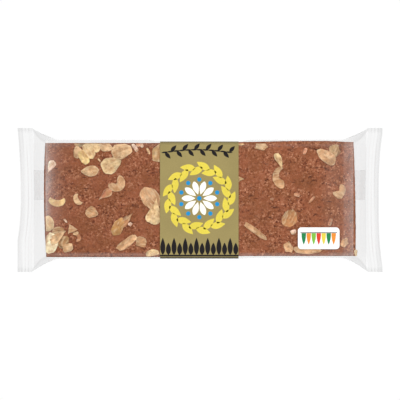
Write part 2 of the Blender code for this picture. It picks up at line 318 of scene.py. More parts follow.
class Graph:
    """A material's nodes, added and linked by short calls."""

    def __init__(self, name: str) -> None:
        """Starts a material with nothing but its output.

        Args:
            name: The material's name.
        """
        self.material = bpy.data.materials.new(name)
        self.material.use_nodes = True
        self.tree = self.material.node_tree
        self.tree.nodes.clear()
        self.output = self.tree.nodes.new("ShaderNodeOutputMaterial")

    def add(self, kind: str, **inputs: object) -> Node:
        """Adds a node and sets or links its inputs.

        Args:
            kind: The node's type, without ShaderNode in front.
            **inputs: Values or outputs for the inputs, by name, with _ for a space.

        Returns:
            The node.
        """
        node = self.tree.nodes.new("ShaderNode" + kind)
        for name, value in inputs.items():
            self.put(node.inputs[name.replace("_", " ")], value)
        return node

    def put(self, socket: Socket, value: object) -> None:
        """Links an output to an input, or sets the input's value.

        Args:
            socket: The input.
            value: The output or the value.
        """
        if isinstance(value, Socket):
            self.tree.links.new(value, socket)
        elif isinstance(value, tuple) and len(value) == 3 and socket.type == "RGBA":
            socket.default_value = (*value, 1.0)
        else:
            socket.default_value = value

    def place(self, *scale: float) -> Socket:
        """The place in the object, in metres, stretched by a scale if one is given."""
        coordinates = self.add("TexCoord").outputs["Object"]
        return self.add("Mapping", Vector=coordinates, Scale=scale).outputs[0] if scale else coordinates

    def noise(self, place: Socket, size: float, detail: float = 2.0, rough: float = 0.5) -> Socket:
        """Soft noise whose patches measure about size metres."""
        node = self.add("TexNoise", Vector=place, Scale=1.0 / size, Detail=detail, Roughness=rough)
        return node.outputs["Fac"]

    def math(self, operation: str, first: object, second: object = 0.0) -> Socket:
        """Reckons with one or two values.

        Args:
            operation: The kind of sum, as the node names it.
            first: The first value or output.
            second: The second.

        Returns:
            The sum's output.
        """
        node = self.tree.nodes.new("ShaderNodeMath")
        node.operation = operation
        self.put(node.inputs[0], first)
        self.put(node.inputs[1], second)
        return node.outputs[0]

    def spread(self, value: Socket, low: float, high: float, to_low: float, to_high: float) -> Socket:
        """A value moved from one range to another, held inside it."""
        ends = {"From_Min": low, "From_Max": high, "To_Min": to_low, "To_Max": to_high}
        return self.add("MapRange", Value=value, **ends).outputs["Result"]

    def blend(self, factor: object, first: object, second: object) -> Socket:
        """Blends two colours.

        Args:
            factor: How much of the second shows.
            first: The first colour.
            second: The second colour.

        Returns:
            The blend's output.
        """
        node = self.tree.nodes.new("ShaderNodeMix")
        node.data_type = "RGBA"
        for index, value in zip((0, 6, 7), (factor, first, second)):
            self.put(node.inputs[index], value)
        return node.outputs[2]

    def covered(self, colour: object, *covers: tuple) -> Socket:
        """A colour with others laid over it in turn.

        Args:
            colour: The colour that lies under all.
            *covers: For each its colour, the value that spreads it, the value's two ends, how much
                there is of it at the second, and the mask that weakens it, if it has one.

        Returns:
            The colour that shows.
        """
        for over, value, low, high, amount, *masks in covers:
            factor = self.spread(value, low, high, 0.0, amount)
            for mask in masks:
                factor = self.math("MULTIPLY", factor, mask)
            colour = self.blend(factor, colour, over)
        return colour

    def attribute(self, name: str, output: str = "Fac") -> Socket:
        """Reads a value or colour that is stored in the mesh.

        Args:
            name: Its name.
            output: Which output of the node is used.

        Returns:
            That output.
        """
        node = self.tree.nodes.new("ShaderNodeAttribute")
        node.attribute_name = name
        return node.outputs[output]

    def bump(self, height: Socket, depth: float, **after: object) -> Socket:
        """A surface normal shaken by a height, depth metres deep at most."""
        return self.add("Bump", Height=height, Distance=depth, Strength=1.0, **after).outputs["Normal"]

    def over(self, amount: object, first: Node, second: Node) -> Node:
        """Mixes two shaders.

        Args:
            amount: How much of the second shows.
            first: The first shader.
            second: The second shader.

        Returns:
            The node that mixes them.
        """
        both = self.add("MixShader")
        for socket, value in zip(both.inputs, (amount, first.outputs[0], second.outputs[0])):
            self.put(socket, value)
        return both

    def finish(self, shader: Node) -> Material:
        """Ends the material with a shader."""
        self.tree.links.new(shader.outputs[0], self.output.inputs["Surface"])
        return self.material


@dataclass(frozen=True)
class DoughFinish:
    """Baked speculaas: fine crumb, spice specks, pits and short cracks, darker towards its left end.
    The pits and cracks get painted shade, and the crumb's tone follows its bump, with a painted highlight
    on the crests and painted shade in the hollows.
    """

    name: str = "speculaas"
    plain: Colour = srgb(165, 96, 62)
    warm: Colour = srgb(151, 88, 52)
    pale: Colour = srgb(214, 150, 114)
    dark: Colour = srgb(98, 42, 20)
    deep: Colour = srgb(70, 22, 8)
    patch_size: float = 11.0 * MM
    calm_size: float = 9.0 * MM
    crumb_size: float = 1.5 * MM
    grain_size: float = 1.1 * MM
    left_darkening: float = 0.1

    def make(self) -> Material:
        """Builds the material.

        Returns:
            The material.
        """
        graph = Graph(self.name)
        place = graph.place()
        patches = graph.noise(place, self.patch_size, 3.0)
        crumb = graph.noise(place, self.crumb_size, 5.0, 0.72)
        dashes = graph.noise(graph.place(0.32, 1.0, 1.0), self.crumb_size, 2.0, 0.6)
        broad = graph.noise(graph.place(0.6, 1.0, 1.0), self.calm_size)
        calm = graph.spread(broad, 0.42, 0.58, 0.3, 1.0)
        cells = graph.add("TexVoronoi", Vector=place, Scale=1.0 / self.grain_size).outputs
        grains = graph.add("SeparateColor", Color=cells["Color"]).outputs
        along = graph.add("SeparateXYZ", Vector=place).outputs["X"]
        colour = graph.covered(
            self.plain,
            (self.warm, patches, 0.40, 0.60, 1.0),
            # The crumb noise also makes the bump below, so these two covers give the crumb's own tone
            # together with a painted highlight on its crests and painted shade in its hollows.
            (self.pale, crumb, 0.53, 0.65, 0.85, calm),
            (self.dark, crumb, 0.47, 0.36, 0.85, calm),
            (self.pale, grains["Red"], 0.84, 0.95, 0.75, calm),
            (self.dark, grains["Green"], 0.84, 0.96, 0.75, calm),
            (self.deep, dashes, 0.35, 0.28, 0.8),
            # Painted shade in the pits and cracks.
            (self.deep, graph.attribute("pit_shade"), 0.0, 1.0, 1.0),
            # Darker towards the left end.
            (self.dark, along, 20.0 * MM, -80.0 * MM, self.left_darkening),
        )
        normal = graph.bump(cells["Distance"], 0.3 * MM, Normal=graph.bump(crumb, 1.0 * MM))
        looks = {"Base_Color": colour, "Roughness": 0.7, "Specular_IOR_Level": 0.12}
        return graph.finish(graph.add("BsdfPrincipled", Normal=normal, **looks))


@dataclass(frozen=True)
class AlmondFinish:
    """Toasted flaked almond: its own tone with toasted patches, scraps of brown skin and a pale rim, which
    is a painted highlight in patches.
    """

    name: str = "flaked_almond"
    skin: Colour = srgb(136, 80, 42)
    toasted: Colour = srgb(184, 134, 88)
    pale: Colour = srgb(246, 220, 180)
    streak_size: float = 1.4 * MM
    scrap_size: float = 1.7 * MM
    patch_size: float = 4.5 * MM
    rim_highlight_size: float = 7.0 * MM

    def make(self) -> Material:
        """Builds the material.

        Returns:
            The material.
        """
        graph = Graph(self.name)
        grain = graph.attribute("grain", "Vector")
        along = graph.add("Mapping", Vector=grain, Scale=(0.3, 1.0, 1.0)).outputs["Vector"]
        streaks = graph.noise(along, self.streak_size)
        rim = graph.attribute("rim")
        inner = graph.spread(rim, 1.0, 0.35, 0.3, 1.0)
        # Where the rim gets its painted highlight.
        rim_highlight = graph.spread(graph.noise(grain, self.rim_highlight_size, 1.0), 0.46, 0.60, 0.0, 0.42)
        colour = graph.covered(
            graph.attribute("tone", "Color"),
            (self.toasted, graph.noise(grain, self.patch_size), 0.44, 0.64, 0.7, inner),
            (self.pale, streaks, 0.48, 0.64, 0.35),
            (self.skin, graph.noise(grain, self.scrap_size), 0.58, 0.70, 0.42),
            # Painted highlight: a pale rim in patches, where cut edges would catch the light; then darker
            # brown at the very edge.
            (self.pale, rim, 0.45, 0.9, 1.0, rim_highlight),
            (self.skin, rim, 0.8, 1.0, 0.35),
        )
        looks = {"Base_Color": colour, "Roughness": 0.55, "Specular_IOR_Level": 0.2}
        normal = graph.bump(streaks, 0.5 * MM)
        return graph.finish(graph.add("BsdfPrincipled", Normal=normal, **looks))


@dataclass(frozen=True)
class FilmFinish:
    """Clear film: it shows what lies behind it, and mirrors more where it is seen slantwise.

    tint is how much light passes, straight how much is mirrored straight on, crimped how much less
    passes where the mesh stores painted shade along the crimps and creases, and the flag after it says
    whether the film gets a painted sheen: a white diffuse layer in place of the lights' reflection where
    the film bends over the bar's ends and edges. The last two read values that are stored in the mesh.
    """

    name: str
    tint: float
    straight: float
    roughness: float
    crimped: float = 0.0
    has_painted_sheen: bool = False
    slanting: float = 0.85
    # The colour of the painted sheen.
    sheen_colour: Colour = (1.0, 0.95, 0.93)

    def make(self) -> Material:
        """Builds the material.

        Returns:
            The material.
        """
        graph = Graph(self.name)
        colour = (self.tint,) * 3
        # Painted shade: less light passes where the mesh stores shade along the crimps and creases.
        if self.crimped > 0.0:
            colour = graph.blend(graph.attribute("fold_shade_and_tint"), colour, (self.tint - self.crimped,) * 3)
        clear = graph.add("BsdfTransparent", Color=colour)
        slant = graph.math("POWER", graph.add("LayerWeight", Blend=0.5).outputs["Facing"], 5.0)
        mirrored = graph.spread(slant, 0.0, 1.0, self.straight, self.slanting)
        looks = {"Base_Color": (0.95, 0.95, 0.95), "Roughness": self.roughness, "Metallic": 0.85}
        shader = graph.over(mirrored, clear, graph.add("BsdfPrincipled", **looks))
        # Painted sheen: a white diffuse layer where the mesh stores it, in place of the lights'
        # reflection.
        if self.has_painted_sheen:
            shader = graph.over(graph.attribute("painted_sheen"), shader, graph.add("BsdfDiffuse", Color=self.sheen_colour))
        return graph.finish(shader)


@dataclass(frozen=True)
class InkFinish:
    """One printed colour, with the faint unevenness of print, and painted shade along the fold where the
    paper rounds over an edge.

    folded_at is how far from the middle, across the bar, the fold lies, or 0 where there is none.
    """

    name: str
    colour: Colour
    roughness: float = 0.42
    unevenness: float = 0.06
    folded_at: float = 0.0
    fold_width: float = 3.2 * MM
    fold_shade_level: float = 0.42
    grain_size: float = 0.7 * MM
    broad_size: float = 18.0 * MM

    def toned(self, factor: float) -> Colour:
        """The colour made weaker or stronger."""
        return tuple(min(part * factor, 1.0) for part in self.colour)

    def make(self) -> Material:
        """Builds the material.

        Returns:
            The material.
        """
        graph = Graph(self.name)
        place = graph.place()
        broad = graph.noise(place, self.broad_size)
        both = graph.math("ADD", graph.noise(place, self.grain_size), broad)
        factor = graph.spread(graph.math("MULTIPLY", both, 0.5), 0.38, 0.62, 0.0, 1.0)
        colour = graph.blend(factor, self.toned(1.0 - self.unevenness), self.toned(1.0 + self.unevenness))
        # Painted shade where the paper rounds over the bar's edges.
        if self.folded_at > 0.0:
            across = graph.math("ABSOLUTE", graph.add("SeparateXYZ", Vector=place).outputs["Y"])
            fold_shade_mask = graph.spread(across, self.folded_at - self.fold_width, self.folded_at, 0.0, 1.0)
            colour = graph.blend(graph.math("POWER", fold_shade_mask, 2.0), colour, self.toned(self.fold_shade_level))
        normal = graph.bump(broad, 0.5 * MM)
        looks = {"Base_Color": colour, "Roughness": self.roughness}
        return graph.finish(graph.add("BsdfPrincipled", Normal=normal, **looks))


def glowing_white() -> Material:
    """The finish of the floor, an evenly lit white sheet without shadows."""
    graph = Graph("white_sheet")
    return graph.finish(graph.add("Emission", Color=(1.0, 1.0, 1.0), Strength=1.01))


# The bag's form


@dataclass(frozen=True)
class FinBow:
    """How a fin is pulled in along its length: how far, the curve's power, and its reach."""

    depth: float
    power: float
    low: float
    high: float

    def pull(self, y: Values) -> Values:
        """How far a point at y is pulled in."""
        reach = share(abs(y) / np.where(y > 0.0, self.high, self.low), 0.0, 1.0)
        return self.depth * (1.0 - reach ** self.power)


@dataclass(frozen=True)
class BagForm:
    """The sizes and outlines of the bag, which all that lies in it follows. Lengths are in metres.

    A station s is a distance from the middle of the bar, to either side.
    """

    fin_end: float
    fin_half_span: float
    band_left: float
    band_right: float
    bar_end: float = 0.109
    half_width: float = 0.041
    half_depth: float = 0.0105
    edge_radius: float = 0.003
    end_drop: float = 0.0004
    drop_start: float = 0.100
    shoulder: float = 0.097
    fin_start: float = 0.118
    fin_half_thickness: float = 0.0003
    fin_middle: float = 0.0095
    left_bow: FinBow = FinBow(0.0023, 2.0, 0.0280, 0.0505)
    right_bow: FinBow = FinBow(0.0026, 3.0, 0.0460, 0.0460)
    bow_start: float = 0.112
    crimp_pitch: float = 0.0023
    crimp_height: float = 0.00035
    side_spread: float = 1.6
    top_spread: float = 1.5
    radius_share: float = 0.8

    def banded(self, x: Values, margin: float) -> Values:
        """Whether x lies under the printed band or nearer to it than a margin."""
        return (x > self.band_left - margin) & (x < self.band_right + margin)

    def taper(self, s: Values) -> Values:
        """How far the station s is from the end of the bar to the fin."""
        return share(s, self.bar_end, self.fin_start)

    def side_half_width(self, s: Values) -> Values:
        """Half the width at half the height, where the side creases towards the fin."""
        along = share(s, self.shoulder, self.fin_start) ** self.side_spread
        return mixed(self.half_width, self.fin_half_span, along)

    def top_half_width(self, s: Values) -> Values:
        """Half the width of the upper face."""
        return mixed(self.half_width, self.fin_half_span, self.taper(s) ** self.top_spread)

    def half_height(self, s: Values) -> Values:
        """Half the height: whole over the bar, a little less at its end, and thin in the fin."""
        at_end = self.half_depth - self.end_drop * share(s, self.drop_start, self.bar_end) ** 2
        return mixed(at_end, self.fin_half_thickness, self.taper(s))

    def middle_height(self, s: Values) -> Values:
        """The height of the middle plane, with the crimps of the fin."""
        wave = np.sin(math.tau * np.maximum(s - self.fin_start, 0.0) / self.crimp_pitch)
        return mixed(self.half_depth, self.fin_middle, self.taper(s)) + self.crimp_height * wave

    def bowed(self, s: Values, y: Values, x: Values) -> Values:
        """How far a point at station s and y is from the middle, on the left for x below 0."""
        pull = np.where(x < 0.0, self.left_bow.pull(y), self.right_bow.pull(y))
        return s - pull * share(s, self.bow_start, self.fin_start)

    def upper_outline(self, s: float, swell: float, steps: tuple[int, int, int]) -> Array:
        """The upper half of the outline across X, from the left crease to the right.

        Args:
            s: The station.
            swell: How far the outline stands outside the bag's own.
            steps: Steps from the crease to the rounded corner, round it and over the flat top.

        Returns:
            Rows of y and up, up from the middle plane.
        """
        side, arc, flat = steps
        high, top = self.half_height(s) + swell, self.top_half_width(s) + swell
        radius = min(self.edge_radius, self.radius_share * high)
        angle = np.linspace(0.0, 0.5 * math.pi, arc + 1)
        up = high - radius + radius * np.cos(angle)
        up = np.append(up, up[-1] * np.linspace(1.0, 0.0, side + 1)[1:])
        y = np.append(top - radius + radius * np.sin(angle), np.full(side, top))
        y += (self.side_half_width(s) + swell - top) * (1.0 - up / high)
        across = y[0] * np.linspace(-1.0, 1.0, flat + 1)[1:-1]
        y = np.concatenate((-y[::-1], across, y))
        return np.column_stack((y, np.concatenate((up[::-1], np.full(flat - 1, high), up))))


# Almond flakes


def signed_power(value: Values, power: float) -> Values:
    """A value between -1 and 1 raised to a power, with its sign kept."""
    return np.copysign(abs(value) ** power, value)


@dataclass(frozen=True)
class Cut:
    """A flake's outline before its rim is broken, an oval that is changed in a few ways.

    ends is below 1 for square ends and above 1 for pointed ones. taper is how much narrower the flake
    gets towards its own +X, and lower how much is left of the half towards its own -Y. bend is half
    the angle of a crescent that is open towards its own -X, in degrees, and there lower thins it.
    corners counts the corners of a broken piece, and breaks the straight cuts at its rim.
    """

    ends: float = 1.0
    taper: float = 0.0
    lower: float = 1.0
    bend: float = 0.0
    corners: int = 0
    breaks: int = 1

    def points(self, a: Values, reach: Values, jag: Values) -> tuple[Values, Values]:
        """Points of the outline or inside it, for a flake of unit length and width.

        Args:
            a: Their directions, in radians.
            reach: How far out they are, from 0 in the middle to 1 at the rim.
            jag: How much further out the rim is there than the plain outline.

        Returns:
            Where they are along and across the flake.
        """
        far = reach * (1.0 + jag)
        cos, sin = np.cos(a), np.sin(a)
        if self.bend > 0.0:
            turn = self.bend * reach * cos
            half = 0.2 * self.lower * (1.0 - self.taper * cos)
            return turned(0.5 - half + half * far * signed_power(sin, 0.4 * self.ends), 0.0, turn)
        if self.corners > 0:
            step = math.tau / self.corners
            edge = 0.52 * math.cos(0.5 * step) / np.cos(a % step - 0.5 * step)
            return far * edge * cos, far * edge * sin
        u = 0.5 * signed_power(cos, min(self.ends, 1.0))
        v = signed_power(sin, self.ends) * (1.0 - self.taper * cos) / (1.0 + 0.33 * self.taper ** 2)
        v = v * np.where(sin < 0.0, self.lower, 1.0)
        return far * u, (far * v - 0.5 * (1.0 - self.lower)) / (1.0 + self.lower)


class Outline(Enum):
    """The forms that flaked almonds break into."""

    OVAL = Cut(taper=0.08, breaks=0)
    SLICE = Cut(taper=0.22, breaks=3)
    LEAF = Cut(ends=1.25, taper=0.35)
    DROP = Cut(taper=0.85, breaks=2)
    HALF = Cut(lower=0.12, breaks=0)
    SLIVER = Cut(ends=0.7)
    BLOCK = Cut(ends=0.65, breaks=3)
    CHIP = Cut(corners=5, breaks=3)
    SHARD = Cut(corners=3, breaks=0)
    CURL = Cut(bend=118.0, lower=1.12)
    HOOK = Cut(taper=-0.4, bend=90.0, lower=0.8)
    LUNE = Cut(ends=3.6, bend=94.0, lower=0.98)


class Tone(Enum):
    """The colours of the almond flakes."""

    PALE = srgb(250, 230, 192)
    GOLD = srgb(238, 202, 138)
    YELLOW = srgb(230, 198, 148)
    CREAM = srgb(222, 182, 138)
    TAN = srgb(210, 164, 122)
    BAKED = srgb(197, 149, 107)
    AMBER = srgb(190, 140, 82)
    BROWN = srgb(191, 131, 84)
    PINK = srgb(214, 152, 120)
    OLIVE = srgb(180, 144, 100)
    SHADED = srgb(152, 116, 76)
    DOUGH = srgb(186, 122, 90)
    RUSSET = srgb(168, 116, 78)
    WHITE = srgb(248, 212, 190)


@dataclass(frozen=True)
class Flake:
    """One piece of flaked almond: its outline, middle, length, width and turn, in mm and degrees."""

    outline: Outline
    x: float
    y: float
    length: float
    width: float
    turn: float
    tone: Tone
    lift: float = 0.0


OVAL, SLICE, LEAF, DROP, HALF, SLIVER, BLOCK, CHIP, SHARD, CURL, HOOK, LUNE = Outline
PALE, GOLD, YELLOW, CREAM, TAN, BAKED, AMBER, BROWN, PINK, OLIVE, SHADED, DOUGH, RUSSET, WHITE = Tone

# The flakes that show from a step away, roughly from left to right. Where two overlap, lift says which
# lies higher.
LARGE_FLAKES = (
    Flake(OVAL, -107.0, -16.5, 11.0, 10.0, 90, YELLOW),
    Flake(OVAL, -99.2, -21.8, 9.0, 6.4, 8, SHADED, -0.25),
    Flake(DROP, -104.6, 23.0, 10.4, 5.2, 244, WHITE),
    Flake(LUNE, -100.0, 1.4, 12.8, 15.2, 266, GOLD),
    Flake(SLICE, -104.2, -29.6, 16.0, 9.6, 80, PALE, 0.1),
    Flake(DROP, -99.4, -25.6, 14.0, 6.8, 36, CREAM, 0.3),
    Flake(CHIP, -95.6, -29.2, 11.6, 8.0, 60, SHADED, -0.15),
    Flake(BLOCK, -92.8, -33.3, 7.6, 6.2, 12, CREAM, 0.2),
    Flake(SHARD, -89.8, -20.4, 8.8, 8.2, -6, TAN),
    Flake(SLICE, -85.6, 33.4, 8.8, 6.6, 95, CREAM),
    # This sliver stands for the pale highlight on the top of the curl on the next line: a painted
    # highlight, laid as a pale flake.
    Flake(SLIVER, -87.0, -23.3, 4.0, 2.0, 20, CREAM, 0.2),
    Flake(CURL, -86.2, -26.2, 6.0, 7.0, 10, DOUGH, -0.1),
    Flake(LUNE, -84.0, 1.2, 9.8, 10.8, 208, CREAM),
    Flake(SLICE, -84.0, 39.0, 8.0, 4.0, 0, SHADED, -0.2),
    Flake(BLOCK, -81.4, 30.0, 11.0, 6.4, -62, GOLD, 0.35),
    Flake(SLICE, -77.7, 34.3, 12.4, 8.2, -62, YELLOW, 0.1),
    Flake(LEAF, -77.2, 20.2, 12.6, 7.8, 185, CREAM),
    Flake(SLICE, -75.8, -8.5, 9.2, 8.2, -20, BAKED),
    Flake(BLOCK, -74.2, 37.6, 9.5, 6.8, -30, YELLOW),
    Flake(DROP, -66.4, 3.6, 12.0, 6.2, 218, DOUGH, -0.15),
    Flake(SLICE, -65.8, 37.6, 10.5, 7.5, -20, CREAM),
    Flake(SLICE, -62.2, 24.5, 15.0, 11.4, 24, YELLOW, 0.1),
    Flake(CURL, -59.0, 12.4, 13.6, 13.4, -50, TAN, 0.1),
    Flake(DROP, -51.2, -13.6, 13.4, 5.6, 47, RUSSET, -0.1),
    Flake(SLICE, -57.2, -18.6, 14.2, 8.0, 62, AMBER, 0.1),
    Flake(SLICE, -54.6, 34.3, 15.5, 11.0, 15, CREAM, 0.1),
    Flake(BLOCK, -51.5, -30.3, 17.6, 5.8, 36, TAN),
    Flake(SLIVER, -45.5, 36.6, 6.4, 2.8, -54, WHITE),
    Flake(CHIP, -43.2, 38.4, 4.0, 2.8, 0, PINK),
    Flake(SLIVER, -40.8, 38.2, 3.4, 2.4, -60, WHITE),
    Flake(BLOCK, -41.4, -29.4, 7.6, 7.2, -12, BAKED),
    Flake(OVAL, -34.6, 1.2, 17.4, 12.6, -52, TAN),
    Flake(HALF, -33.5, -36.8, 9.6, 4.8, 12, YELLOW),
    Flake(DROP, -32.0, -8.0, 18.4, 11.4, 82, YELLOW, 0.35),
    Flake(SLICE, -29.4, 32.9, 13.0, 10.0, 90, OLIVE),
    Flake(SHARD, 28.0, 14.7, 6.0, 5.0, 0, OLIVE, -0.1),
    Flake(SLIVER, 38.5, -21.6, 19.6, 3.8, -36, TAN, -0.05),
    Flake(CHIP, 43.2, 37.4, 10.0, 6.6, -8, CREAM),
    Flake(HOOK, 58.6, 15.8, 16.0, 17.2, 186, BAKED),
    Flake(DROP, 55.6, 27.2, 12.4, 4.8, -66, YELLOW, 0.2),
    Flake(CHIP, 62.0, -33.3, 9.0, 7.0, -60, TAN),
    Flake(OVAL, 62.8, -12.8, 12.9, 10.6, 60, BROWN),
    Flake(SLICE, 75.6, -35.0, 20.0, 6.4, -5, TAN, -0.15),
    Flake(SLIVER, 91.3, -15.4, 5.6, 2.8, 70, DOUGH),
    Flake(SLICE, 88.5, 30.4, 15.6, 9.0, 142, TAN, 0.1),
    Flake(CHIP, 93.8, 34.2, 10.6, 9.2, 60, OLIVE, -0.1),
    Flake(CHIP, 98.2, 3.4, 7.4, 5.6, 10, TAN),
    Flake(CURL, 96.9, 7.0, 10.2, 10.8, -42, TAN, 0.1),
    Flake(CHIP, 101.3, -30.1, 7.6, 6.0, 64, BAKED, -0.1),
)

# The splinters between them
SMALL_FLAKES = (
    Flake(SLIVER, -94.2, -14.5, 3.5, 1.4, -50, WHITE),
    Flake(SLIVER, -70.6, 28.0, 2.8, 1.2, -50, CREAM),
    Flake(CHIP, -49.0, -16.8, 3.5, 3.0, 0, WHITE),
    Flake(SLIVER, -36.2, 34.3, 5.0, 1.8, -64, CREAM),
    Flake(CHIP, 28.7, 39.0, 5.0, 2.5, 0, CREAM),
    Flake(CHIP, 50.4, 0.7, 3.0, 2.2, 0, PINK),
    Flake(BLOCK, 65.4, -22.3, 4.2, 3.2, 20, WHITE),
    Flake(SLIVER, 67.9, 3.5, 4.6, 2.4, -20, PINK),
    Flake(SLIVER, 73.5, 34.3, 4.9, 2.6, 70, PINK),
    Flake(SLIVER, 78.4, 0.4, 6.0, 1.8, 48, PINK),
    Flake(CHIP, 109.6, -36.8, 5.8, 3.8, 90, PALE, -0.4),
)


@dataclass
class Topping:
    """The flaked almonds on the bar, as thin wavy slices baked into its top."""

    form: BagForm
    bed: float = 20.15 * MM
    thickness: float = 0.85 * MM
    small_thickness: float = 0.7 * MM
    ceiling: float = 21.58 * MM
    tucked: float = 20.35 * MM
    relief: float = 0.5 * MM
    curl: float = 0.35 * MM
    tip: float = 0.15 * MM
    wave: float = 0.2 * MM
    ripple: float = 0.22 * MM
    worn_rim: float = 0.42
    rounded_rim: float = 0.25
    edge_y: float = 39.5 * MM
    left_edge: float = 107.9 * MM
    right_edge: float = 108.6 * MM
    left_lean: float = 0.1
    right_lean: float = 0.65
    sides: int = 48
    whole_rim: Span = (0.034, 0.80)
    broken_rim: Span = (0.05, 0.75)
    insets: tuple[float, ...] = (0.05, 0.09, 0.14, 0.18, 0.18, 0.18)
    wobbles: tuple[tuple[float, float], ...] = ((3.0, 1.0), (7.0, 0.7), (13.0, 0.4), (19.0, 0.4))
    seed: int = 11

    def blank(self) -> Piece:
        """Makes a round plate of unit radius and depth, with rings of faces on both sides.

        Returns:
            The plate.
        """
        deselect_all()
        bpy.ops.mesh.primitive_circle_add(vertices=self.sides, radius=1.0, fill_type="NGON")
        obj = named("flake_blank")
        edit(obj, "FACE")
        for width in self.insets:
            bpy.ops.mesh.inset(thickness=width, use_even_offset=False)
        bpy.ops.mesh.poke()
        bpy.ops.mesh.select_all(action="SELECT")
        grow_down(1.0)
        close_edit()
        return obj

    def rim_table(self, cut: Cut, rng: random.Random) -> Array:
        """How far the rim is from the plain outline at each side of the blank.

        Args:
            cut: The outline, which says how broken the flake is.
            rng: The source of its random draws.

        Returns:
            One number a side: above 0 is further out.
        """
        wobble, least = self.whole_rim if cut.corners == 0 else self.broken_rim
        a = np.arange(self.sides) * math.tau / self.sides
        far = np.ones(self.sides)
        for times, size in self.wobbles:
            far += wobble * size * np.sin(times * a + rng.uniform(0.0, math.tau))
        for _ in range(cut.breaks):
            facing = np.cos(a - rng.uniform(0.0, math.tau))
            far = np.minimum(far, rng.uniform(least, 0.97) / np.maximum(facing, 0.2))
        return far - 1.0

    def shaped(self, blank: Piece, flake: Flake, index: int, thick: float) -> Piece:
        """A copy of the blank with one flake's form, place and colour.

        Args:
            blank: The round plate.
            flake: The flake to make.
            index: Its number, which sets how it is broken and curled.
            thick: Its thickness.

        Returns:
            The flake's object.
        """
        rng = random.Random(self.seed + index)
        cut = flake.outline.value
        rim = self.rim_table(cut, rng)
        curl = rng.uniform(-self.curl, self.curl)
        tip_along = rng.uniform(-self.tip, self.tip)
        tip_across = rng.uniform(-self.tip, self.tip)
        shade_to = rng.uniform(0.0, math.tau)
        side_shade = rng.uniform(0.14, 0.34)
        spot = rng.uniform(0.0, 50.0)
        tint = rng.uniform(0.95, 1.05)
        mottle = rng.uniform(0.25, 0.6)

        x, y, z = points_of(blank).T
        reach = np.minimum(np.hypot(x, y), 1.0)
        t = (np.arctan2(y, x) / math.tau) % 1.0
        jag = rim[np.rint(t * self.sides).astype(int) % self.sides] * reach
        along, across = (2.0 * part for part in cut.points(math.tau * t, reach, jag))
        u, v = 0.5 * along * flake.length, 0.5 * across * flake.width
        height = self.bed + thick + flake.lift * MM + self.wave * waves(u * 0.35, v * 0.5, spot)
        height += curl * (across ** 2 - 0.4) + tip_along * along + tip_across * across
        upper = self.ripple * waves(u * 0.9, v * 1.2, spot)
        upper -= self.worn_rim * thick * share(reach, 0.8, 1.0) ** 2
        height += np.where(z > -0.5, upper, -thick * (1.0 - self.rounded_rim * reach ** 6))
        # Painted shade: each flake is darker towards one side, in place of the shading of its curl, and
        # mottled in its own tone.
        shaded = tint * (1.0 - side_shade * (along * math.cos(shade_to) + across * math.sin(shade_to)))
        shaded *= 1.0 + mottle * waves(u * 0.42, v * 0.42, spot + 9.0)
        shaded *= 1.0 + 0.4 * mottle * waves(u * 1.3, v * 1.3, spot + 5.0)
        shaded_tones = np.minimum(np.outer(shaded, (*flake.tone.value, 0.0)), 1.0)
        shaded_tones[:, 3] = 1.0

        obj = copy_of(blank, f"flake_{index:02d}")
        px, py = turned(u, v, flake.turn)
        set_points(obj, *self.kept_in((flake.x + px) * MM, (flake.y + py) * MM, height))
        store(obj, "grain", np.column_stack((u * MM, v * MM, np.full(len(u), 0.05 * index))))
        store(obj, "rim", share(reach, 0.72, 1.0))
        store(obj, "tone", shaded_tones)
        return obj

    def kept_in(self, x: Values, y: Values, height: Values) -> tuple[Values, Values, Values]:
        """Folds points down past the bar's edges, and holds them under the film and the band.

        Args:
            x: Places along the bar.
            y: Places across the bar.
            height: Their heights.

        Returns:
            The places and heights that the points get.
        """
        height = np.minimum(height, np.where(self.form.banded(x, 0.35 * MM), self.tucked, self.ceiling))
        edge = np.where(x < 0.0, self.left_edge, self.right_edge)
        lean = np.where(x < 0.0, self.left_lean, self.right_lean)
        over, past = np.maximum(abs(y) - self.edge_y, 0.0), np.maximum(abs(x) - edge, 0.0)
        y = y - np.sign(y) * 0.9 * over
        x = x - np.sign(x) * (1.0 - lean) * past
        return x, y, height - 0.9 * (over + past)

    def build(self, flakes: Sequence[Flake], name: str, thick: float, first: int) -> Piece:
        """All flakes of a list as one piece.

        Args:
            flakes: The list.
            name: The piece's name.
            thick: How thick they are.
            first: The first one's number.

        Returns:
            The piece.
        """
        blank = self.blank()
        made = [self.shaped(blank, flake, first + i, thick) for i, flake in enumerate(flakes)]
        bpy.data.objects.remove(blank)
        return shade(join(made, name), 50.0)

    def film_lift(self, x: Array, y: Array) -> Array:
        """How far the flakes push the film up at many places.

        Args:
            x: Places along the bar.
            y: Places across the bar.

        Returns:
            Heights in metres.
        """
        lifted = np.zeros_like(x)
        for flake in LARGE_FLAKES:
            u, v = turned(x / MM - flake.x, y / MM - flake.y, -flake.turn)
            reach = np.hypot(2.0 * u / flake.length, 2.0 * v / flake.width)
            soft = 12.0 / (flake.length + flake.width)
            lifted = np.maximum(lifted, eased(reach, 0.8 + soft, 0.8))
        return self.relief * lifted


# The bar

# The middle, length and turn of each crack that shows in the top, in mm and degrees
CRACKS = (
    (52.5, -5.9, 7.0, -3), (79.8, 12.7, 5.2, 3), (83.8, -5.7, 3.6, -8), (80.6, -11.3, 3.2, 25),
    (64.5, 34.5, 5.8, 22), (80.5, 34.6, 9.5, -14), (46.8, 13.2, 2.6, 10), (72.5, 12.4, 2.4, 0),
    (49.2, -13.0, 3.0, -12), (69.0, -8.6, 3.6, 4), (-33.0, 19.0, 3.4, 8), (88.6, 21.0, 3.2, -30),
    (36.0, 2.2, 3.6, 6), (33.2, -8.0, 3.0, -14), (-90.4, -6.0, 2.8, 20), (-46.0, 20.5, 3.0, -8),
)


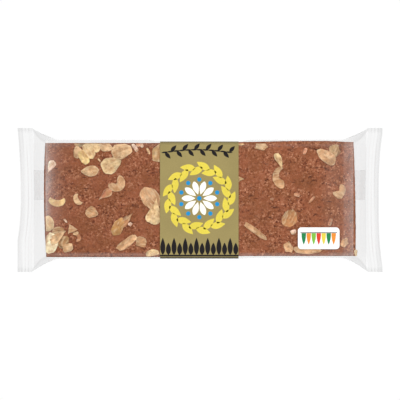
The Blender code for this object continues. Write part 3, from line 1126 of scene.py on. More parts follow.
@dataclass(frozen=True)
class Hollow:
    """A pit or crack in the top of the bar, in mm and degrees, long and wide being half its size.

    dark is how much painted shade it gets in its middle, from 0 to 1.
    """

    x: float
    y: float
    long: float
    wide: float
    turn: float
    depth: float
    dark: float


@dataclass
class SpeculaasBar:
    """The baked bar: a slab with a crumbly, pitted top and slightly bulging sides.

    The numbers of its cracks and pits are in mm and degrees, as in CRACKS and Hollow.
    """

    form: BagForm
    half_width: float = 0.040
    top: float = 20.22 * MM
    bottom: float = 0.5 * MM
    edge: float = 1.4 * MM
    step: float = 0.68 * MM
    side_cuts: int = 12
    aside: float = 0.7 * MM
    arch: float = 0.7 * MM
    broad_size: float = 18.0 * MM
    small_size: float = 3.2 * MM
    fine_size: float = 1.8 * MM
    side_size: float = 2.4 * MM
    left_end: float = 108.0 * MM
    left_bulge: float = 1.25 * MM
    left_crest: float = 0.15
    right_end: float = 108.2 * MM
    right_slant: float = 0.75 * MM
    right_bulge: float = 0.55 * MM
    broad_rise: float = 0.14 * MM
    small_rise: float = 0.12 * MM
    fine_rise: float = 0.28 * MM
    small_level: float = 3.125
    fine_level: float = 11.111111
    edge_steepness: float = 0.92
    lower_edge: float = 0.7
    lower_rise: float = 0.12 * MM
    end_rise: float = 0.22 * MM
    side_rise: float = 0.18 * MM
    side_inset: float = 0.1 * MM
    arch_from: Span = (25.0 * MM, 70.0 * MM)
    arch_to: Span = (108.0 * MM, 88.0 * MM)
    crack_wide: float = 0.42
    crack_depth: float = 0.7
    crack_shade: float = 0.95
    pits: int = 420
    pit_reach: Size = (108.0, 39.0)
    pit_long: Span = (0.5, 1.5)
    pit_wide: Span = (0.3, 0.75)
    pit_turn: float = 30.0
    pit_depth: Span = (0.15, 0.6)
    pit_shade_range: Span = (0.0, 0.55)
    sway: float = 0.25
    sway_rate: float = 1.7
    near: float = 8.0
    seed: int = 5

    def end(self, x: Array, y: Array) -> Array:
        """How far from the middle the bar's end lies.

        Args:
            x: Places along the bar, of which only the side counts.
            y: Places across the bar.

        Returns:
            A distance for each place.
        """
        across = y / self.half_width
        left = self.left_end + self.left_bulge * (1.0 - (across - self.left_crest) ** 2)
        right = self.right_end - self.right_slant * across + self.right_bulge * (1.0 - across ** 2)
        return np.where(x < 0.0, left, right)

    def slab(self) -> Piece:
        """Makes a slab of small faces, from a grid that is extruded and cut in layers.

        Returns:
            The slab.
        """
        length, width = 2.0 * self.form.bar_end, 2.0 * self.half_width
        obj = grid("speculaas_bar", round(length / self.step), round(width / self.step))
        set_points(obj, points_of(obj) * (length, width, 1.0) + (0.0, 0.0, self.top))
        depth = self.top - self.bottom
        edit(obj, "FACE")
        grow_down(depth)
        for i in range(1, self.side_cuts):
            height = self.top - depth * i / self.side_cuts
            bpy.ops.mesh.bisect(plane_co=(0.0, 0.0, height), plane_no=(0.0, 0.0, 1.0))
            bpy.ops.mesh.select_all(action="SELECT")
        close_edit()
        return obj

    def hollows(self) -> list[Hollow]:
        """Lists the cracks of the top, and its pits in places drawn at random.

        Returns:
            Cracks and pits.
        """
        rng = random.Random(self.seed)
        rest, (far_x, far_y) = (self.crack_depth, self.crack_shade), self.pit_reach
        made = [Hollow(x, y, 0.5 * long, self.crack_wide, turn, *rest) for x, y, long, turn in CRACKS]
        for _ in range(self.pits):
            long = rng.uniform(*self.pit_long)
            x, y = rng.uniform(-far_x, far_x), rng.uniform(-far_y, far_y)
            wide, turn = long * rng.uniform(*self.pit_wide), rng.gauss(0.0, self.pit_turn)
            depth, dark = rng.uniform(*self.pit_depth), rng.uniform(*self.pit_shade_range)
            made.append(Hollow(x, y, long, wide, turn, depth, dark))
        return made

    def sink(self, x: Array, y: Array) -> tuple[Array, Array]:
        """What the pits and cracks do to the top.

        Args:
            x: Places along the bar.
            y: Places across the bar.

        Returns:
            How deep each place is, in metres, and how much painted shade it gets, from 0 to 1.
        """
        depth, dark = np.zeros_like(x), np.zeros_like(x)
        x, y = x / MM, y / MM
        for hollow in self.hollows():
            near = np.flatnonzero((abs(x - hollow.x) < self.near) & (abs(y - hollow.y) < self.near))
            u, v = turned(x[near] - hollow.x, y[near] - hollow.y, -hollow.turn)
            v = v + self.sway * np.sin(self.sway_rate * u + hollow.x)
            inside = eased(np.hypot(u / hollow.long, v / hollow.wide), 1.5, 0.4)
            depth[near] = np.maximum(depth[near], hollow.depth * MM * inside)
            dark[near] = np.maximum(dark[near], hollow.dark * inside)
        return depth, dark

    def crumb(self, x: Array, y: Array) -> Array:
        """The rise and fall of the crumbly top at many places.

        Args:
            x: Places along the bar.
            y: Places across the bar.

        Returns:
            Heights in metres.
        """
        broad = waves(x / self.broad_size, y / self.broad_size, 0.0)
        small = waves(x / self.small_size, y / self.small_size, self.small_level)
        places = zip(x / self.fine_size, y / self.fine_size)
        places = (Vector((a, b, self.fine_level)) for a, b in places)
        fine = np.array([noise.turbulence(place, 2, False) for place in places])
        return self.broad_rise * broad + self.small_rise * small + self.fine_rise * (fine - 0.5)

    def build(self) -> Piece:
        """Makes the slab and gives it its relief.

        Returns:
            The bar.
        """
        form = self.form
        obj = self.slab()
        x, y, z = points_of(obj).T
        on_top, on_bottom = z > self.top - TOUCHING, z < self.bottom + TOUCHING
        at_end, at_side = abs(x) > form.bar_end - TOUCHING, abs(y) > self.half_width - TOUCHING
        depth, dark = self.sink(x, y)
        rough = waves(x / self.side_size, y / self.side_size, z / self.side_size)
        reach = self.end(x, y)
        new_x = x / form.bar_end * reach
        border = np.minimum(reach - abs(new_x), self.half_width - abs(y))
        steep = self.edge_steepness * share(border, self.edge, 0.0) ** 2
        sunk = self.edge * (1.0 - np.sqrt(1.0 - steep))
        z = z + on_top * (self.crumb(x, y) - depth - sunk)
        z = z + on_bottom * (self.lower_rise * (rough + 1.0) + self.lower_edge * sunk)
        z = np.where(form.banded(x, 1.0 * MM), np.minimum(z, self.top + 0.1 * MM), z)
        new_x = new_x + at_end * np.sign(x) * self.end_rise * rough
        new_y = y + at_side * np.sign(y) * (self.side_rise * rough - self.side_inset)
        new_y = new_y + self.aside * eased(new_x, form.band_left, form.band_right + 10.0 * MM)
        arch = eased(new_x, *self.arch_from) * eased(new_x, *self.arch_to)
        new_y = new_y + self.arch * arch * eased(y, 0.0, self.half_width)
        set_points(obj, new_x, new_y, z)
        # Painted shade of the pits and cracks, on the top only.
        store(obj, "pit_shade", np.where(on_top, dark, 0.0))
        return shade(obj, 60.0)


@dataclass
class Crumbs:
    """Loose grains of dough and almond that lie on the top of the bar. Lengths here are in mm."""

    bar: SpeculaasBar
    count: int = 620
    far_x: float = 106.5
    far_y: float = 38.6
    radius: float = 0.5
    sizes: tuple[float, float, float] = (0.5, 1.7, 0.8)
    lengths: Span = (1.0, 1.5)
    lump_size: float = 0.35
    lump_height: float = 0.35
    flatness: float = 0.55
    lift: float = 0.02
    seed: int = 23

    def build(self) -> Piece:
        """Makes all grains as one piece.

        Returns:
            The piece.
        """
        rng = random.Random(self.seed)
        deselect_all()
        bpy.ops.mesh.primitive_ico_sphere_add(subdivisions=2, radius=self.radius)
        grain = named("grain")
        base = points_of(grain)
        made = []
        for i in range(self.count):
            x, y = rng.uniform(-self.far_x, self.far_x), rng.uniform(-self.far_y, self.far_y)
            if self.bar.form.banded(x * MM, 1.0 * MM):
                continue
            size = rng.triangular(*self.sizes)
            turn = math.degrees(rng.uniform(0.0, math.pi))
            long = rng.uniform(*self.lengths)
            lumps = waves(*(base / self.lump_size + (i, 0.0, 0.0)).T)
            u, v, up = (base * (1.0 + self.lump_height * lumps)[:, None] * size).T
            u, v = turned(u * long, v, turn)
            made.append(copy_of(grain, f"grain_{i:03d}"))
            height = self.bar.top + (self.lift + up * self.flatness) * MM
            set_points(made[-1], (x + u) * MM, (y + v) * MM, height)
        bpy.data.objects.remove(grain)
        piece = join(made, "dough_crumbs")
        store(piece, "pit_shade", np.zeros(len(piece.data.vertices)))
        return shade(piece, 60.0)


# The film


@dataclass
class ClearBag:
    """The film bag: one sheet wrapped round the bar and crimped flat at both ends.

    Its methods take the points of the plain bag as lists: x along it, y across it, z up, and s the
    station of each point's outline.
    """

    form: BagForm
    topping: Topping
    steps: tuple[int, int, int] = (5, 7, 84)
    under_band: float = 0.45 * MM
    seal_width: float = 21.0 * MM
    seal_gap: float = 0.3 * MM
    loose: float = 1.1 * MM
    close: float = 0.6 * MM
    # How strong the painted sheen is, in place of the lights' reflection: at the left and right ends,
    # rising in two steps towards the right end, and along the front and back edges.
    sheen_left: float = 0.34
    sheen_right: float = 0.19
    sheen_near: float = 0.05
    sheen_far: float = 0.025
    sheen_front: float = 0.08
    sheen_back: float = 0.03
    near_glare: Span = (99.6 * MM, 101.4 * MM)
    far_glare: Span = (82.0 * MM, 92.0 * MM)
    left_fade: float = 4.4 * MM
    right_fade: float = 2.6 * MM
    line_dark: float = 0.75
    outer_dark: float = 0.45
    corner_dark: float = 0.3
    inner_dark: float = 0.12
    crease_dark: float = 0.8
    wrinkle: float = 0.55 * MM
    crimp_wrinkle: float = 0.16 * MM

    def stations(self) -> Array:
        """Spaces the sheet's columns along X, closest where the bag bends.

        Returns:
            Their places, from the left fin's end to the right's.
        """
        form = self.form
        starts = (0.0, form.drop_start, form.bar_end, form.fin_start, form.fin_end)
        stretches = zip(starts, starts[1:], (100, 18, 24, 50))
        right = [np.linspace(*stretch, endpoint=False) for stretch in stretches]
        right = np.append(np.concatenate(right), form.fin_end)
        return np.concatenate((-right[:0:-1], right))

    def ring(self, x: float) -> Array:
        """The closed outline of the bag at a place along it.

        Args:
            x: The place.

        Returns:
            Its points, from the middle of the underside round to it again.
        """
        form, s = self.form, abs(x)
        swell = -self.under_band if form.banded(x, 0.2 * MM) else 0.0
        upper = form.upper_outline(s, swell, self.steps)
        if s > form.fin_end - TOUCHING:
            upper[:, 1] = 0.0
        lower = upper[-2:0:-1] * (1.0, -1.0)
        half = len(lower) // 2
        y, up = np.concatenate((lower[half:], upper, lower[: half + 1])).T
        return np.column_stack((np.sign(x) * form.bowed(s, y, x), y, form.middle_height(s) + up))

    def build(self) -> Piece:
        """Wraps a flat sheet into the bag, and drapes it over the almonds.

        Returns:
            The bag.
        """
        stations = self.stations()
        rings = np.array([self.ring(x) for x in stations])
        columns, rows = rings.shape[0] - 1, rings.shape[1] - 1
        obj, u, v = sheet("clear_film", columns, rows)
        column = np.rint((u + 0.5) * columns).astype(int)
        x, y, z = rings[column, np.rint((v + 0.5) * rows).astype(int)].T
        s = abs(stations)[column]
        # Painted shade for the crimps and creases, and the painted sheen, stored for the films to read.
        store(obj, "fold_shade_and_tint", np.maximum(self.crimps(x, y, s), self.creases(y, s)))
        store(obj, "painted_sheen", self.painted_sheen(x, y, z))
        set_points(obj, x, y + self.aside(x, y, s), z + self.raised(x, y, z, s))
        edit(obj)
        close_edit(MERGE_DISTANCE)
        return shade(obj, 60.0)

    def creases(self, y: Array, s: Array) -> Array:
        """How much painted shade the film gets along the slanting sides of the bag's ends.

        Args:
            y: The points' places across the bag.
            s: Their stations.

        Returns:
            From 0 to 1 for each point.
        """
        form = self.form
        top = form.top_half_width(s)
        narrow = eased(s, form.shoulder, form.bar_end) * (s < form.fin_start)
        return self.crease_dark * narrow * eased(abs(y), top - 1.6 * MM, top - 0.4 * MM)

    def painted_sheen(self, x: Array, y: Array, z: Array) -> Array:
        """How much painted sheen the film gets over the ends and long edges of the bar, in place of the
        lights' reflection there.

        Args:
            x: The points' places along the bag.
            y: Their places across it.
            z: Their heights.

        Returns:
            From 0 to 1 for each point.
        """
        form = self.form
        past = abs(x) - form.bar_end
        left = self.sheen_left * np.exp(past / self.left_fade) * eased(y, -38.0 * MM, 2.0 * MM)
        right = self.sheen_right * np.exp(past / self.right_fade)
        right = right + self.sheen_near * eased(x, *self.near_glare)
        right = right + self.sheen_far * eased(x, *self.far_glare)
        ends = np.where(x < 0.0, left, right)
        ends = ends * eased(past + np.where(x < 0.0, 0.0, 0.8 * MM), -0.4 * MM, -1.2 * MM)
        inset = form.half_width - abs(y)
        edges = eased(inset, 4.4 * MM, 3.2 * MM) * eased(inset, 1.4 * MM, 2.4 * MM)
        edges = edges * eased(past, 0.0, -3.0 * MM)
        edges = np.where(y < 0.0, self.sheen_front, self.sheen_back) * edges
        uneven = 1.0 + 0.5 * waves(x / (6.0 * MM), y / (13.0 * MM), 7.0)
        return (ends + edges) * uneven * eased(z, 18.4 * MM, 19.6 * MM)

    def crimps(self, x: Array, y: Array, s: Array) -> Array:
        """How much painted shade the film gets along the crimps of the fins and at their corners, and how
        much darker it is towards their outer ends and over their inner part.

        Args:
            x: The points' places along the bag.
            y: Their places across it.
            s: Their stations.

        Returns:
            From 0 to 1 for each point.
        """
        form = self.form
        turns = (s - form.fin_start) / form.crimp_pitch
        line = (0.5 - 0.5 * np.cos(math.tau * (turns - 0.5))) ** 3
        uneven = 0.5 + 0.9 * waves(np.rint(turns - 0.2) * 3.7 + 20.0 * np.sign(x), y / (24.0 * MM), 1.5)
        deep = form.fin_end - s
        outer = eased(deep, 3.0 * MM, 2.3 * MM)
        calm = 1.0 - 0.65 * eased(deep, 5.4 * MM, 7.2 * MM)
        plateau = eased(deep, 6.0 * MM, 9.0 * MM)
        corner = eased(form.top_half_width(s) - abs(y), 3.2 * MM, 2.0 * MM)
        inside = eased(s, form.fin_start - 0.5 * MM, form.fin_start + 0.8 * MM)
        # Painted shade along the crimp lines and at the corners, and film that is darker towards the fin's
        # outer end and over its inner part.
        shade_and_edge_darkening = self.line_dark * line * (uneven * calm + 0.8 * corner)
        shade_and_edge_darkening = shade_and_edge_darkening + self.outer_dark * outer + self.corner_dark * corner
        return np.clip(inside * (shade_and_edge_darkening + self.inner_dark * plateau), 0.0, 1.0)

    def aside(self, x: Array, y: Array, s: Array) -> Array:
        """How far the long walls lie towards +Y, where the bag isn't centred on its bar.

        Args:
            x: The points' places along the bag.
            y: Their places across it.
            s: Their stations.

        Returns:
            A distance for each point.
        """
        form = self.form
        clear = eased(form.band_left - x, 0.5 * MM, 9.0 * MM)
        clear = clear + eased(x - form.band_right, 0.5 * MM, 9.0 * MM)
        clear = clear * eased(s, form.fin_start, form.bar_end - 4.0 * MM)
        wall = (form.half_width - 2.0 * MM, form.half_width - 0.2 * MM)
        return clear * (self.loose * eased(y, *wall) + (x > 0.0) * self.close * eased(-y, *wall))

    def raised(self, x: Array, y: Array, z: Array, s: Array) -> Array:
        """How far the flakes, the lengthwise seal and the film's own wrinkles move it up or down.

        Args:
            x: The points' places along the bag.
            y: Their places across it.
            z: Their heights.
            s: Their stations.

        Returns:
            A distance for each point, above 0 for up.
        """
        form = self.form
        top = (z > 1.6 * form.half_depth) & ~form.banded(x, 0.3 * MM)
        inside = eased(abs(y), form.half_width, form.half_width - 2.5 * MM)
        inside = inside * eased(s, form.bar_end + 0.5 * MM, form.bar_end - 1.5 * MM)
        seal = eased(y, -0.4 * MM, 0.2 * MM)
        seal = seal * eased(y, self.seal_width + 0.4 * MM, self.seal_width - 0.2 * MM)
        folded = eased(s, form.bar_end - 1.0 * MM, form.bar_end + 4.0 * MM)
        folded = folded * eased(s, form.fin_end, form.fin_start - 1.0 * MM)
        folds = waves(np.sign(x) * 3.0 + s / (26.0 * MM), y / (4.6 * MM), z * 70.0)
        crimped = eased(s, form.fin_start, form.fin_start + 1.0 * MM)
        uneven = waves(x / (3.0 * MM), y / (11.0 * MM), 4.0)
        lifted = top * inside * self.topping.film_lift(x, y) + (z < 0.4 * MM) * self.seal_gap * seal
        return lifted + self.wrinkle * folded * folds + self.crimp_wrinkle * crimped * uneven


@dataclass
class BackSeal:
    """The lengthwise seal: both edges of the sheet, pressed together and folded flat underneath."""

    form: BagForm
    width: float = 21.0 * MM
    thickness: float = 0.12 * MM
    gap: float = 0.12 * MM
    lowest: float = 0.1 * MM
    ridge: float = 0.03 * MM
    ridge_pitch: float = 1.4 * MM
    columns: int = 240
    rows: int = 42

    def build(self) -> Piece:
        """Makes the seal as a thin ridged strip under the bag.

        Returns:
            The seal.
        """
        form = self.form
        obj, u, v = sheet("back_seal", self.columns, self.rows)
        y = (v + 0.5) * self.width
        s = abs(2.0 * u * (form.fin_start + 0.6 * MM))
        x = np.copysign(form.bowed(s, y, u), u)
        under = form.middle_height(s) - form.half_height(s) - self.gap - self.thickness
        z = np.where(abs(x) < form.bar_end, self.lowest, np.maximum(under, self.lowest))
        set_points(obj, x, y, z + self.ridge * np.sin(math.tau * y / self.ridge_pitch))
        use_only(obj)
        wall = obj.modifiers.new("wall", "SOLIDIFY")
        wall.thickness = self.thickness
        wall.offset = 1.0
        bpy.ops.object.modifier_apply(modifier=wall.name)
        edit(obj)
        close_edit(MERGE_DISTANCE)
        return shade(obj, 40.0)


# Print


@dataclass
class Printer:
    """Lays flat figures on the outer side of the band.

    The flat print is in mm: x runs along the bar, and v across the band and down its sides.
    """

    top: float
    half_width: float
    radius: float = 3.0 * MM
    ink: float = 0.03 * MM

    def lay(self, obj: Piece, x: Values, v: Values) -> Piece:
        """Moves a figure's points to places of the flat print, and wraps it round the band.

        Args:
            obj: The figure.
            x: The places of its points along the bar.
            v: Their places across the band.

        Returns:
            The figure.
        """
        x, v = x * MM, v * MM
        flat = self.half_width - self.radius
        beyond = np.maximum(abs(v) - flat, 0.0)
        angle = np.minimum(beyond / self.radius, 0.5 * math.pi)
        reach = self.radius + self.ink
        y = np.copysign(np.minimum(abs(v), flat) + reach * np.sin(angle), v)
        down = self.radius + beyond - angle * self.radius
        set_points(obj, x, y, self.top - down + reach * np.cos(angle))
        return obj

    def leaf(self, x: float, v: float, length: float, width: float, turn: float) -> Piece:
        """A leaf, blunt at its foot and pointed at its tip.

        Args:
            x: The place of its middle along the bar.
            v: The place of its middle across the band.
            length: How long it is.
            width: How wide it is.
            turn: Where its tip points, in degrees from the bar's length.

        Returns:
            The leaf.
        """
        obj, u, w = sheet("leaf", 16, 4)
        swell = np.maximum(np.sin(math.pi * share(u, -0.5, 0.5) ** 0.8), 0.0) ** 0.9
        u, w = turned(u * length, w * width * swell, turn)
        return self.lay(obj, x + u, v + w)

    def rule(self, x: float, v: float, length: float, width: float) -> Piece:
        """A straight bar along the band's edge."""
        obj, u, w = sheet("rule", 24, 6)
        return self.lay(obj, x + u * length, v + w * width)

    def dot(self, x: float, v: float, radius: float) -> Piece:
        """A round dot.

        Args:
            x: The place of its middle along the bar.
            v: The place of its middle across the band.
            radius: Its radius.

        Returns:
            The dot.
        """
        deselect_all()
        bpy.ops.mesh.primitive_circle_add(vertices=24, radius=radius, fill_type="TRIFAN")
        obj = named("dot")
        u, w, _ = points_of(obj).T
        return self.lay(obj, x + u, v + w)


@dataclass
class BandPrint:
    """A generic print: a wreath of leaves round a rosette with berries, a sprig and a leafy border.

    Lengths are in mm, and middle is where the print's middle lies along the bar. A leaf's size is its
    length and width, and a rule's its place across the band and its width. sprig_shift is how far a
    leaf of the sprig is from its stalk, along the sprig and beside it.
    """

    printer: Printer
    middle: float
    wreath_v: float = 1.2
    wreath_leaves: int = 26
    wreath_radius: float = 21.0
    wreath_leaf: Size = (10.6, 4.8)
    stagger: float = 1.9
    lean: float = 24.0
    petals: int = 10
    petal_ring: float = 7.6
    petal: Size = (9.6, 4.2)
    berry_ring: float = 13.2
    berry: float = 1.5
    middle_berry: float = 1.6
    border_leaves: int = 14
    border_pitch: float = 3.93
    border_foot: float = -38.4
    border_heights: Size = (12.0, 8.6)
    border_leaf_width: float = 3.5
    hanging_v: float = -45.4
    hanging_leaf: Size = (7.0, 2.9)
    rules: tuple[Size, Size] = ((-38.9, 1.1), (-41.1, 1.3))
    rule_length: float = 55.0
    sprig_pairs: int = 12
    sprig_length: float = 45.0
    sprig_start: float = -24.0
    sprig_v: float = 33.4
    sprig_arch: float = 1.8
    sprig_stalk: Size = (5.2, 1.1)
    sprig_leaf: Size = (5.6, 2.6)
    sprig_spread: float = 48.0
    sprig_slope: float = 6.0
    sprig_shift: Size = (2.0, 2.3)

    def finish(self, figures: list[Piece], name: str) -> Piece:
        """Joins the figures of one colour, and merges the points that meet at the leaves' ends.

        Args:
            figures: The figures.
            name: The piece's name.

        Returns:
            The piece.
        """
        piece = join(figures, name)
        edit(piece)
        bpy.ops.mesh.remove_doubles(threshold=PRINT_MERGE_DISTANCE)
        bpy.ops.object.mode_set(mode="OBJECT")
        return piece

    def ring(self, radius: float, degrees: float) -> tuple[float, float]:
        """A place on a ring round the middle of the wreath."""
        x, v = turned(radius, 0.0, degrees)
        return self.middle + x, self.wreath_v + v

    def wreath(self) -> Piece:
        """Two staggered rings of yellow leaves.

        Returns:
            The printed piece.
        """
        figures = []
        for i in range(self.wreath_leaves):
            angle, outwards = 360.0 * i / self.wreath_leaves, 1.0 - 2.0 * (i % 2)
            place = self.ring(self.wreath_radius + self.stagger * outwards, angle)
            turn = angle + 90.0 - self.lean * outwards
            figures.append(self.printer.leaf(*place, *self.wreath_leaf, turn))
        return self.finish(figures, "print_wreath")

    def rosette(self) -> Piece:
        """A cream rosette of almonds in the wreath.

        Returns:
            The printed piece.
        """
        figures = []
        for i in range(self.petals):
            angle = 360.0 * i / self.petals
            place = self.ring(self.petal_ring, angle)
            figures.append(self.printer.leaf(*place, *self.petal, angle + 180.0))
        return self.finish(figures, "print_rosette")

    def berries(self) -> Piece:
        """A ring of blue berries between the tips of the rosette, and one in its middle.

        Returns:
            The printed piece.
        """
        figures = [self.printer.dot(self.middle, self.wreath_v, self.middle_berry)]
        for i in range(self.petals):
            place = self.ring(self.berry_ring, 360.0 * (i + 0.5) / self.petals)
            figures.append(self.printer.dot(*place, self.berry))
        return self.finish(figures, "print_berries")

    def border(self) -> Piece:
        """Near-black leaves along the lower edge, upright on two rules and hanging below them.

        Returns:
            The printed piece.
        """
        figures = []
        for i in range(self.border_leaves):
            x = self.middle + self.border_pitch * (i - 0.5 * (self.border_leaves - 1))
            tall = self.border_heights[i % 2]
            v = self.border_foot + 0.5 * tall
            figures.append(self.printer.leaf(x, v, tall, self.border_leaf_width, 90.0))
            figures.append(self.printer.leaf(x, self.hanging_v, *self.hanging_leaf, -90.0))
        for v, width in self.rules:
            figures.append(self.printer.rule(self.middle, v, self.rule_length, width))
        return self.finish(figures, "print_border")

    def sprig(self) -> Piece:
        """A near-black sprig along the upper edge.

        Returns:
            The printed piece.
        """
        figures = []
        for i in range(self.sprig_pairs):
            t, side = i / (self.sprig_pairs - 1), 1.0 if i % 2 else -1.0
            x = self.middle + self.sprig_start + self.sprig_length * t
            v = self.sprig_v + self.sprig_arch * math.sin(math.pi * t)
            slope, turn = self.sprig_slope * math.cos(math.pi * t), side * self.sprig_spread
            along, beside = self.sprig_shift
            figures.append(self.printer.leaf(x, v, *self.sprig_stalk, slope))
            figures.append(self.printer.leaf(x + along, v + side * beside, *self.sprig_leaf, turn))
        return self.finish(figures, "print_sprig")


@dataclass
class StickerPrint:
    """A generic print for the sticker: a string of small flags in five colours."""

    low: Vector
    high: Vector
    ink: float = 0.03 * MM
    flags: int = 7
    flag_height: float = 8.2 * MM
    flags_share: float = 0.84
    string_share: float = 0.88
    string_level: float = 0.76
    string_width: float = 0.5 * MM
    gap: float = 0.35 * MM

    def build(self, inks: Sequence[Material], line: Material) -> Piece:
        """The string and its flags, as three-cornered plates, in one piece.

        Args:
            inks: The inks of the flags, used in turn.
            line: The ink of the string.

        Returns:
            The printed piece.
        """
        middle, width = 0.5 * (self.low.x + self.high.x), self.high.x - self.low.x
        top = mixed(self.low.y, self.high.y, self.string_level)
        pitch = self.flags_share * width / self.flags
        figures = []
        for i in range(self.flags):
            flag, u, v = sheet("flag", 1, 6)
            down = 0.5 - v
            x = middle + pitch * (i - 0.5 * (self.flags - 1)) + 0.9 * pitch * u * (1.0 - down ** 2.4)
            y = top - self.gap - down * self.flag_height
            set_points(flag, x, y, self.high.z + self.ink)
            flag.data.materials.append(inks[i % len(inks)])
            figures.append(flag)
        string, u, v = sheet("string", 20, 1)
        x = middle + self.string_share * width * u
        set_points(string, x, top + v * self.string_width, self.high.z + self.ink)
        string.data.materials.append(line)
        return join([*figures, string], "sticker_print")


class Ink(Enum):
    """The inks of the band and the sticker."""

    YELLOW = InkFinish("ink_yellow", srgb(222, 203, 74), 0.5)
    NIGHT = InkFinish("ink_near_black", srgb(24, 20, 22), 0.5)
    CREAM = InkFinish("ink_cream", srgb(252, 248, 236))
    GREEN = InkFinish("ink_green", srgb(30, 128, 72))
    LIME = InkFinish("ink_lime", srgb(124, 184, 64))
    ORANGE = InkFinish("ink_orange", srgb(232, 142, 50))
    RED = InkFinish("ink_red", srgb(214, 62, 36))
    BLUE = InkFinish("ink_blue", srgb(20, 140, 200), 0.5)


# Studio


@dataclass
class Studio:
    """A plain white floor, soft lights and a long camera straight above."""

    field_of_view: float = 0.280
    camera_height: float = 6.0
    bar_top: float = 0.021
    sensor: float = 36.0
    floor_size: float = 12.0
    surround: float = 0.3

    def light(self, name: str, place: Place, size: Size, watts: float) -> None:
        """Adds a soft rectangular light that points at the bar.

        Args:
            name: The light's name.
            place: Where it hangs.
            size: Its width and height.
            watts: Its power.
        """
        data = bpy.data.lights.new(name, "AREA")
        data.shape = "RECTANGLE"
        data.size, data.size_y = size
        data.energy = watts
        lamp = bpy.data.objects.new(name, data)
        lamp.location = place
        lamp.rotation_euler = (-Vector(place)).to_track_quat("-Z", "Y").to_euler()
        lamp.visible_camera = lamp.visible_glossy = False
        bpy.context.scene.collection.objects.link(lamp)

    def camera(self) -> Piece:
        """Adds the camera.

        Returns:
            The camera.
        """
        data = bpy.data.cameras.new("camera")
        data.sensor_width = self.sensor
        data.lens = self.sensor * (self.camera_height - self.bar_top) / self.field_of_view
        data.clip_end = 40.0
        camera = bpy.data.objects.new("camera", data)
        camera.location = (0.0, 0.0, self.camera_height)
        bpy.context.scene.collection.objects.link(camera)
        return camera

    def build(self) -> None:
        """Adds the floor, the lights, the camera and the way colours are shown."""
        scene = bpy.context.scene
        floor = grid("floor", 4, 4)
        set_points(floor, points_of(floor) * self.floor_size - (0.0, 0.0, 0.2 * MM))
        floor.data.materials.append(glowing_white())

        self.light("left_strip", (-0.36, 0.0, 1.5), (0.9, 0.26), 1.6)
        self.light("right_strip", (0.36, 0.0, 1.5), (0.9, 0.26), 1.1)
        self.light("overhead", (0.15, 0.4, 1.6), (1.0, 1.0), 16.8)
        for side in (-1.0, 1.0):
            self.light(f"side_{side:+.0f}", (side * 1.3, 0.1, 1.25), (1.2, 1.2), 4.0)
            self.light(f"front_{side:+.0f}", (0.0, side * 1.35, 1.3), (1.4, 1.0), 4.0)

        scene.world = bpy.data.worlds.new("studio")
        scene.world.use_nodes = True
        background = scene.world.node_tree.nodes["Background"].inputs
        background["Color"].default_value = (1.0, 1.0, 1.0, 1.0)
        background["Strength"].default_value = self.surround
        scene.view_settings.view_transform = "Standard"
        scene.view_settings.look = "None"
        scene.camera = self.camera()


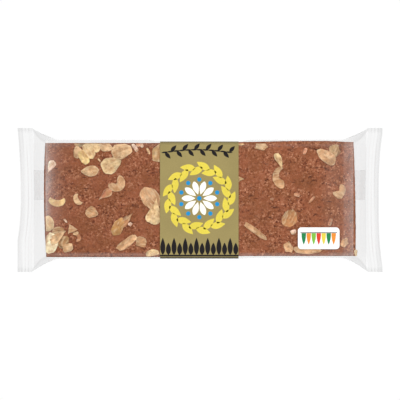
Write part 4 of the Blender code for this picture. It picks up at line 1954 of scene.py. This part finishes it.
@dataclass
class Pack:
    """The whole pack: what the frame gives, and the pieces that dress it."""

    bag_box: tuple[Vector, Vector] = field(default_factory=lambda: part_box("sealed_bag"))
    band_box: tuple[Vector, Vector] = field(default_factory=lambda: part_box("label_band"))
    sticker_box: tuple[Vector, Vector] = field(default_factory=lambda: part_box("corner_sticker"))

    def __post_init__(self) -> None:
        """Works out what the sub-assemblies share."""
        low, high = self.band_box
        self.form = BagForm(self.bag_box[1].x, self.bag_box[1].y, low.x, high.x)
        self.topping = Topping(self.form)

    def food(self) -> None:
        """Builds the bar, its crumbs and its almonds."""
        dough, almond = DoughFinish().make(), AlmondFinish().make()
        bar = SpeculaasBar(self.form)
        for piece in (bar.build(), Crumbs(bar).build()):
            hand_over(piece, "speculaas", [dough], "sealed_bag")
        topping, first = self.topping, len(LARGE_FLAKES)
        flakes = topping.build(LARGE_FLAKES, "almond_flakes", topping.thickness, 0)
        slivers = topping.build(SMALL_FLAKES, "almond_slivers", topping.small_thickness, first)
        for piece in (flakes, slivers):
            hand_over(piece, "almond", [almond], "sealed_bag")

    def film(self) -> None:
        """Builds the bag, crimped film at its ends and clear film between, and its lengthwise seal."""
        # The clear film gets painted shade along its creases and the painted sheen. The crimped film gets
        # painted shade along its crimps.
        clear = FilmFinish("clear_film", 0.938, 0.035, 0.16, 0.06, True).make()
        crimped = FilmFinish("crimped_film", 0.99, 0.05, 0.22, 0.09).make()
        bag = ClearBag(self.form, self.topping).build()
        hand_over(bag, "clear_film", [clear, crimped], "sealed_bag")
        for face in bag.data.polygons:
            face.material_index = int(abs(face.center.x) > self.form.fin_start - 1.4 * MM)
        seal = FilmFinish("seal_film", 0.975, 0.03, 0.2).make()
        hand_over(BackSeal(self.form).build(), "clear_film", [seal], "sealed_bag")

    def print(self) -> None:
        """Gives the band and the sticker their finish and print."""
        low, high = self.band_box
        papers = {
            # The band gets painted shade where it rounds over the bar's long edges.
            "label_band": InkFinish("band_khaki", srgb(150, 135, 85), 0.5, folded_at=high.y),
            "corner_sticker": InkFinish("sticker_white", srgb(250, 250, 250), 0.35, 0.01),
        }
        for node, paper in papers.items():
            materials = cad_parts[node].data.materials
            materials.clear()
            materials.append(paper.make())
        inks = {ink: ink.value.make() for ink in Ink}
        band = BandPrint(Printer(high.z, high.y), 0.5 * (low.x + high.x) / MM)
        for figure, ink in (
            (band.wreath, Ink.YELLOW),
            (band.rosette, Ink.CREAM),
            (band.berries, Ink.BLUE),
            (band.border, Ink.NIGHT),
            (band.sprig, Ink.NIGHT),
        ):
            hand_over(figure(), "label_paper", [inks[ink]])
        flags = [inks[ink] for ink in (Ink.GREEN, Ink.ORANGE, Ink.LIME, Ink.RED, Ink.YELLOW)]
        sticker = StickerPrint(*self.sticker_box).build(flags, inks[Ink.NIGHT])
        hand_over(sticker, "sticker_paper", [])


def main() -> None:
    """Builds the pack and the studio in order."""
    logging.basicConfig(level=logging.INFO, format="%(message)s")
    pack = Pack()
    pack.food()
    pack.film()
    pack.print()
    Studio().build()
    deselect_all()


if __name__ == "__main__":
    main()
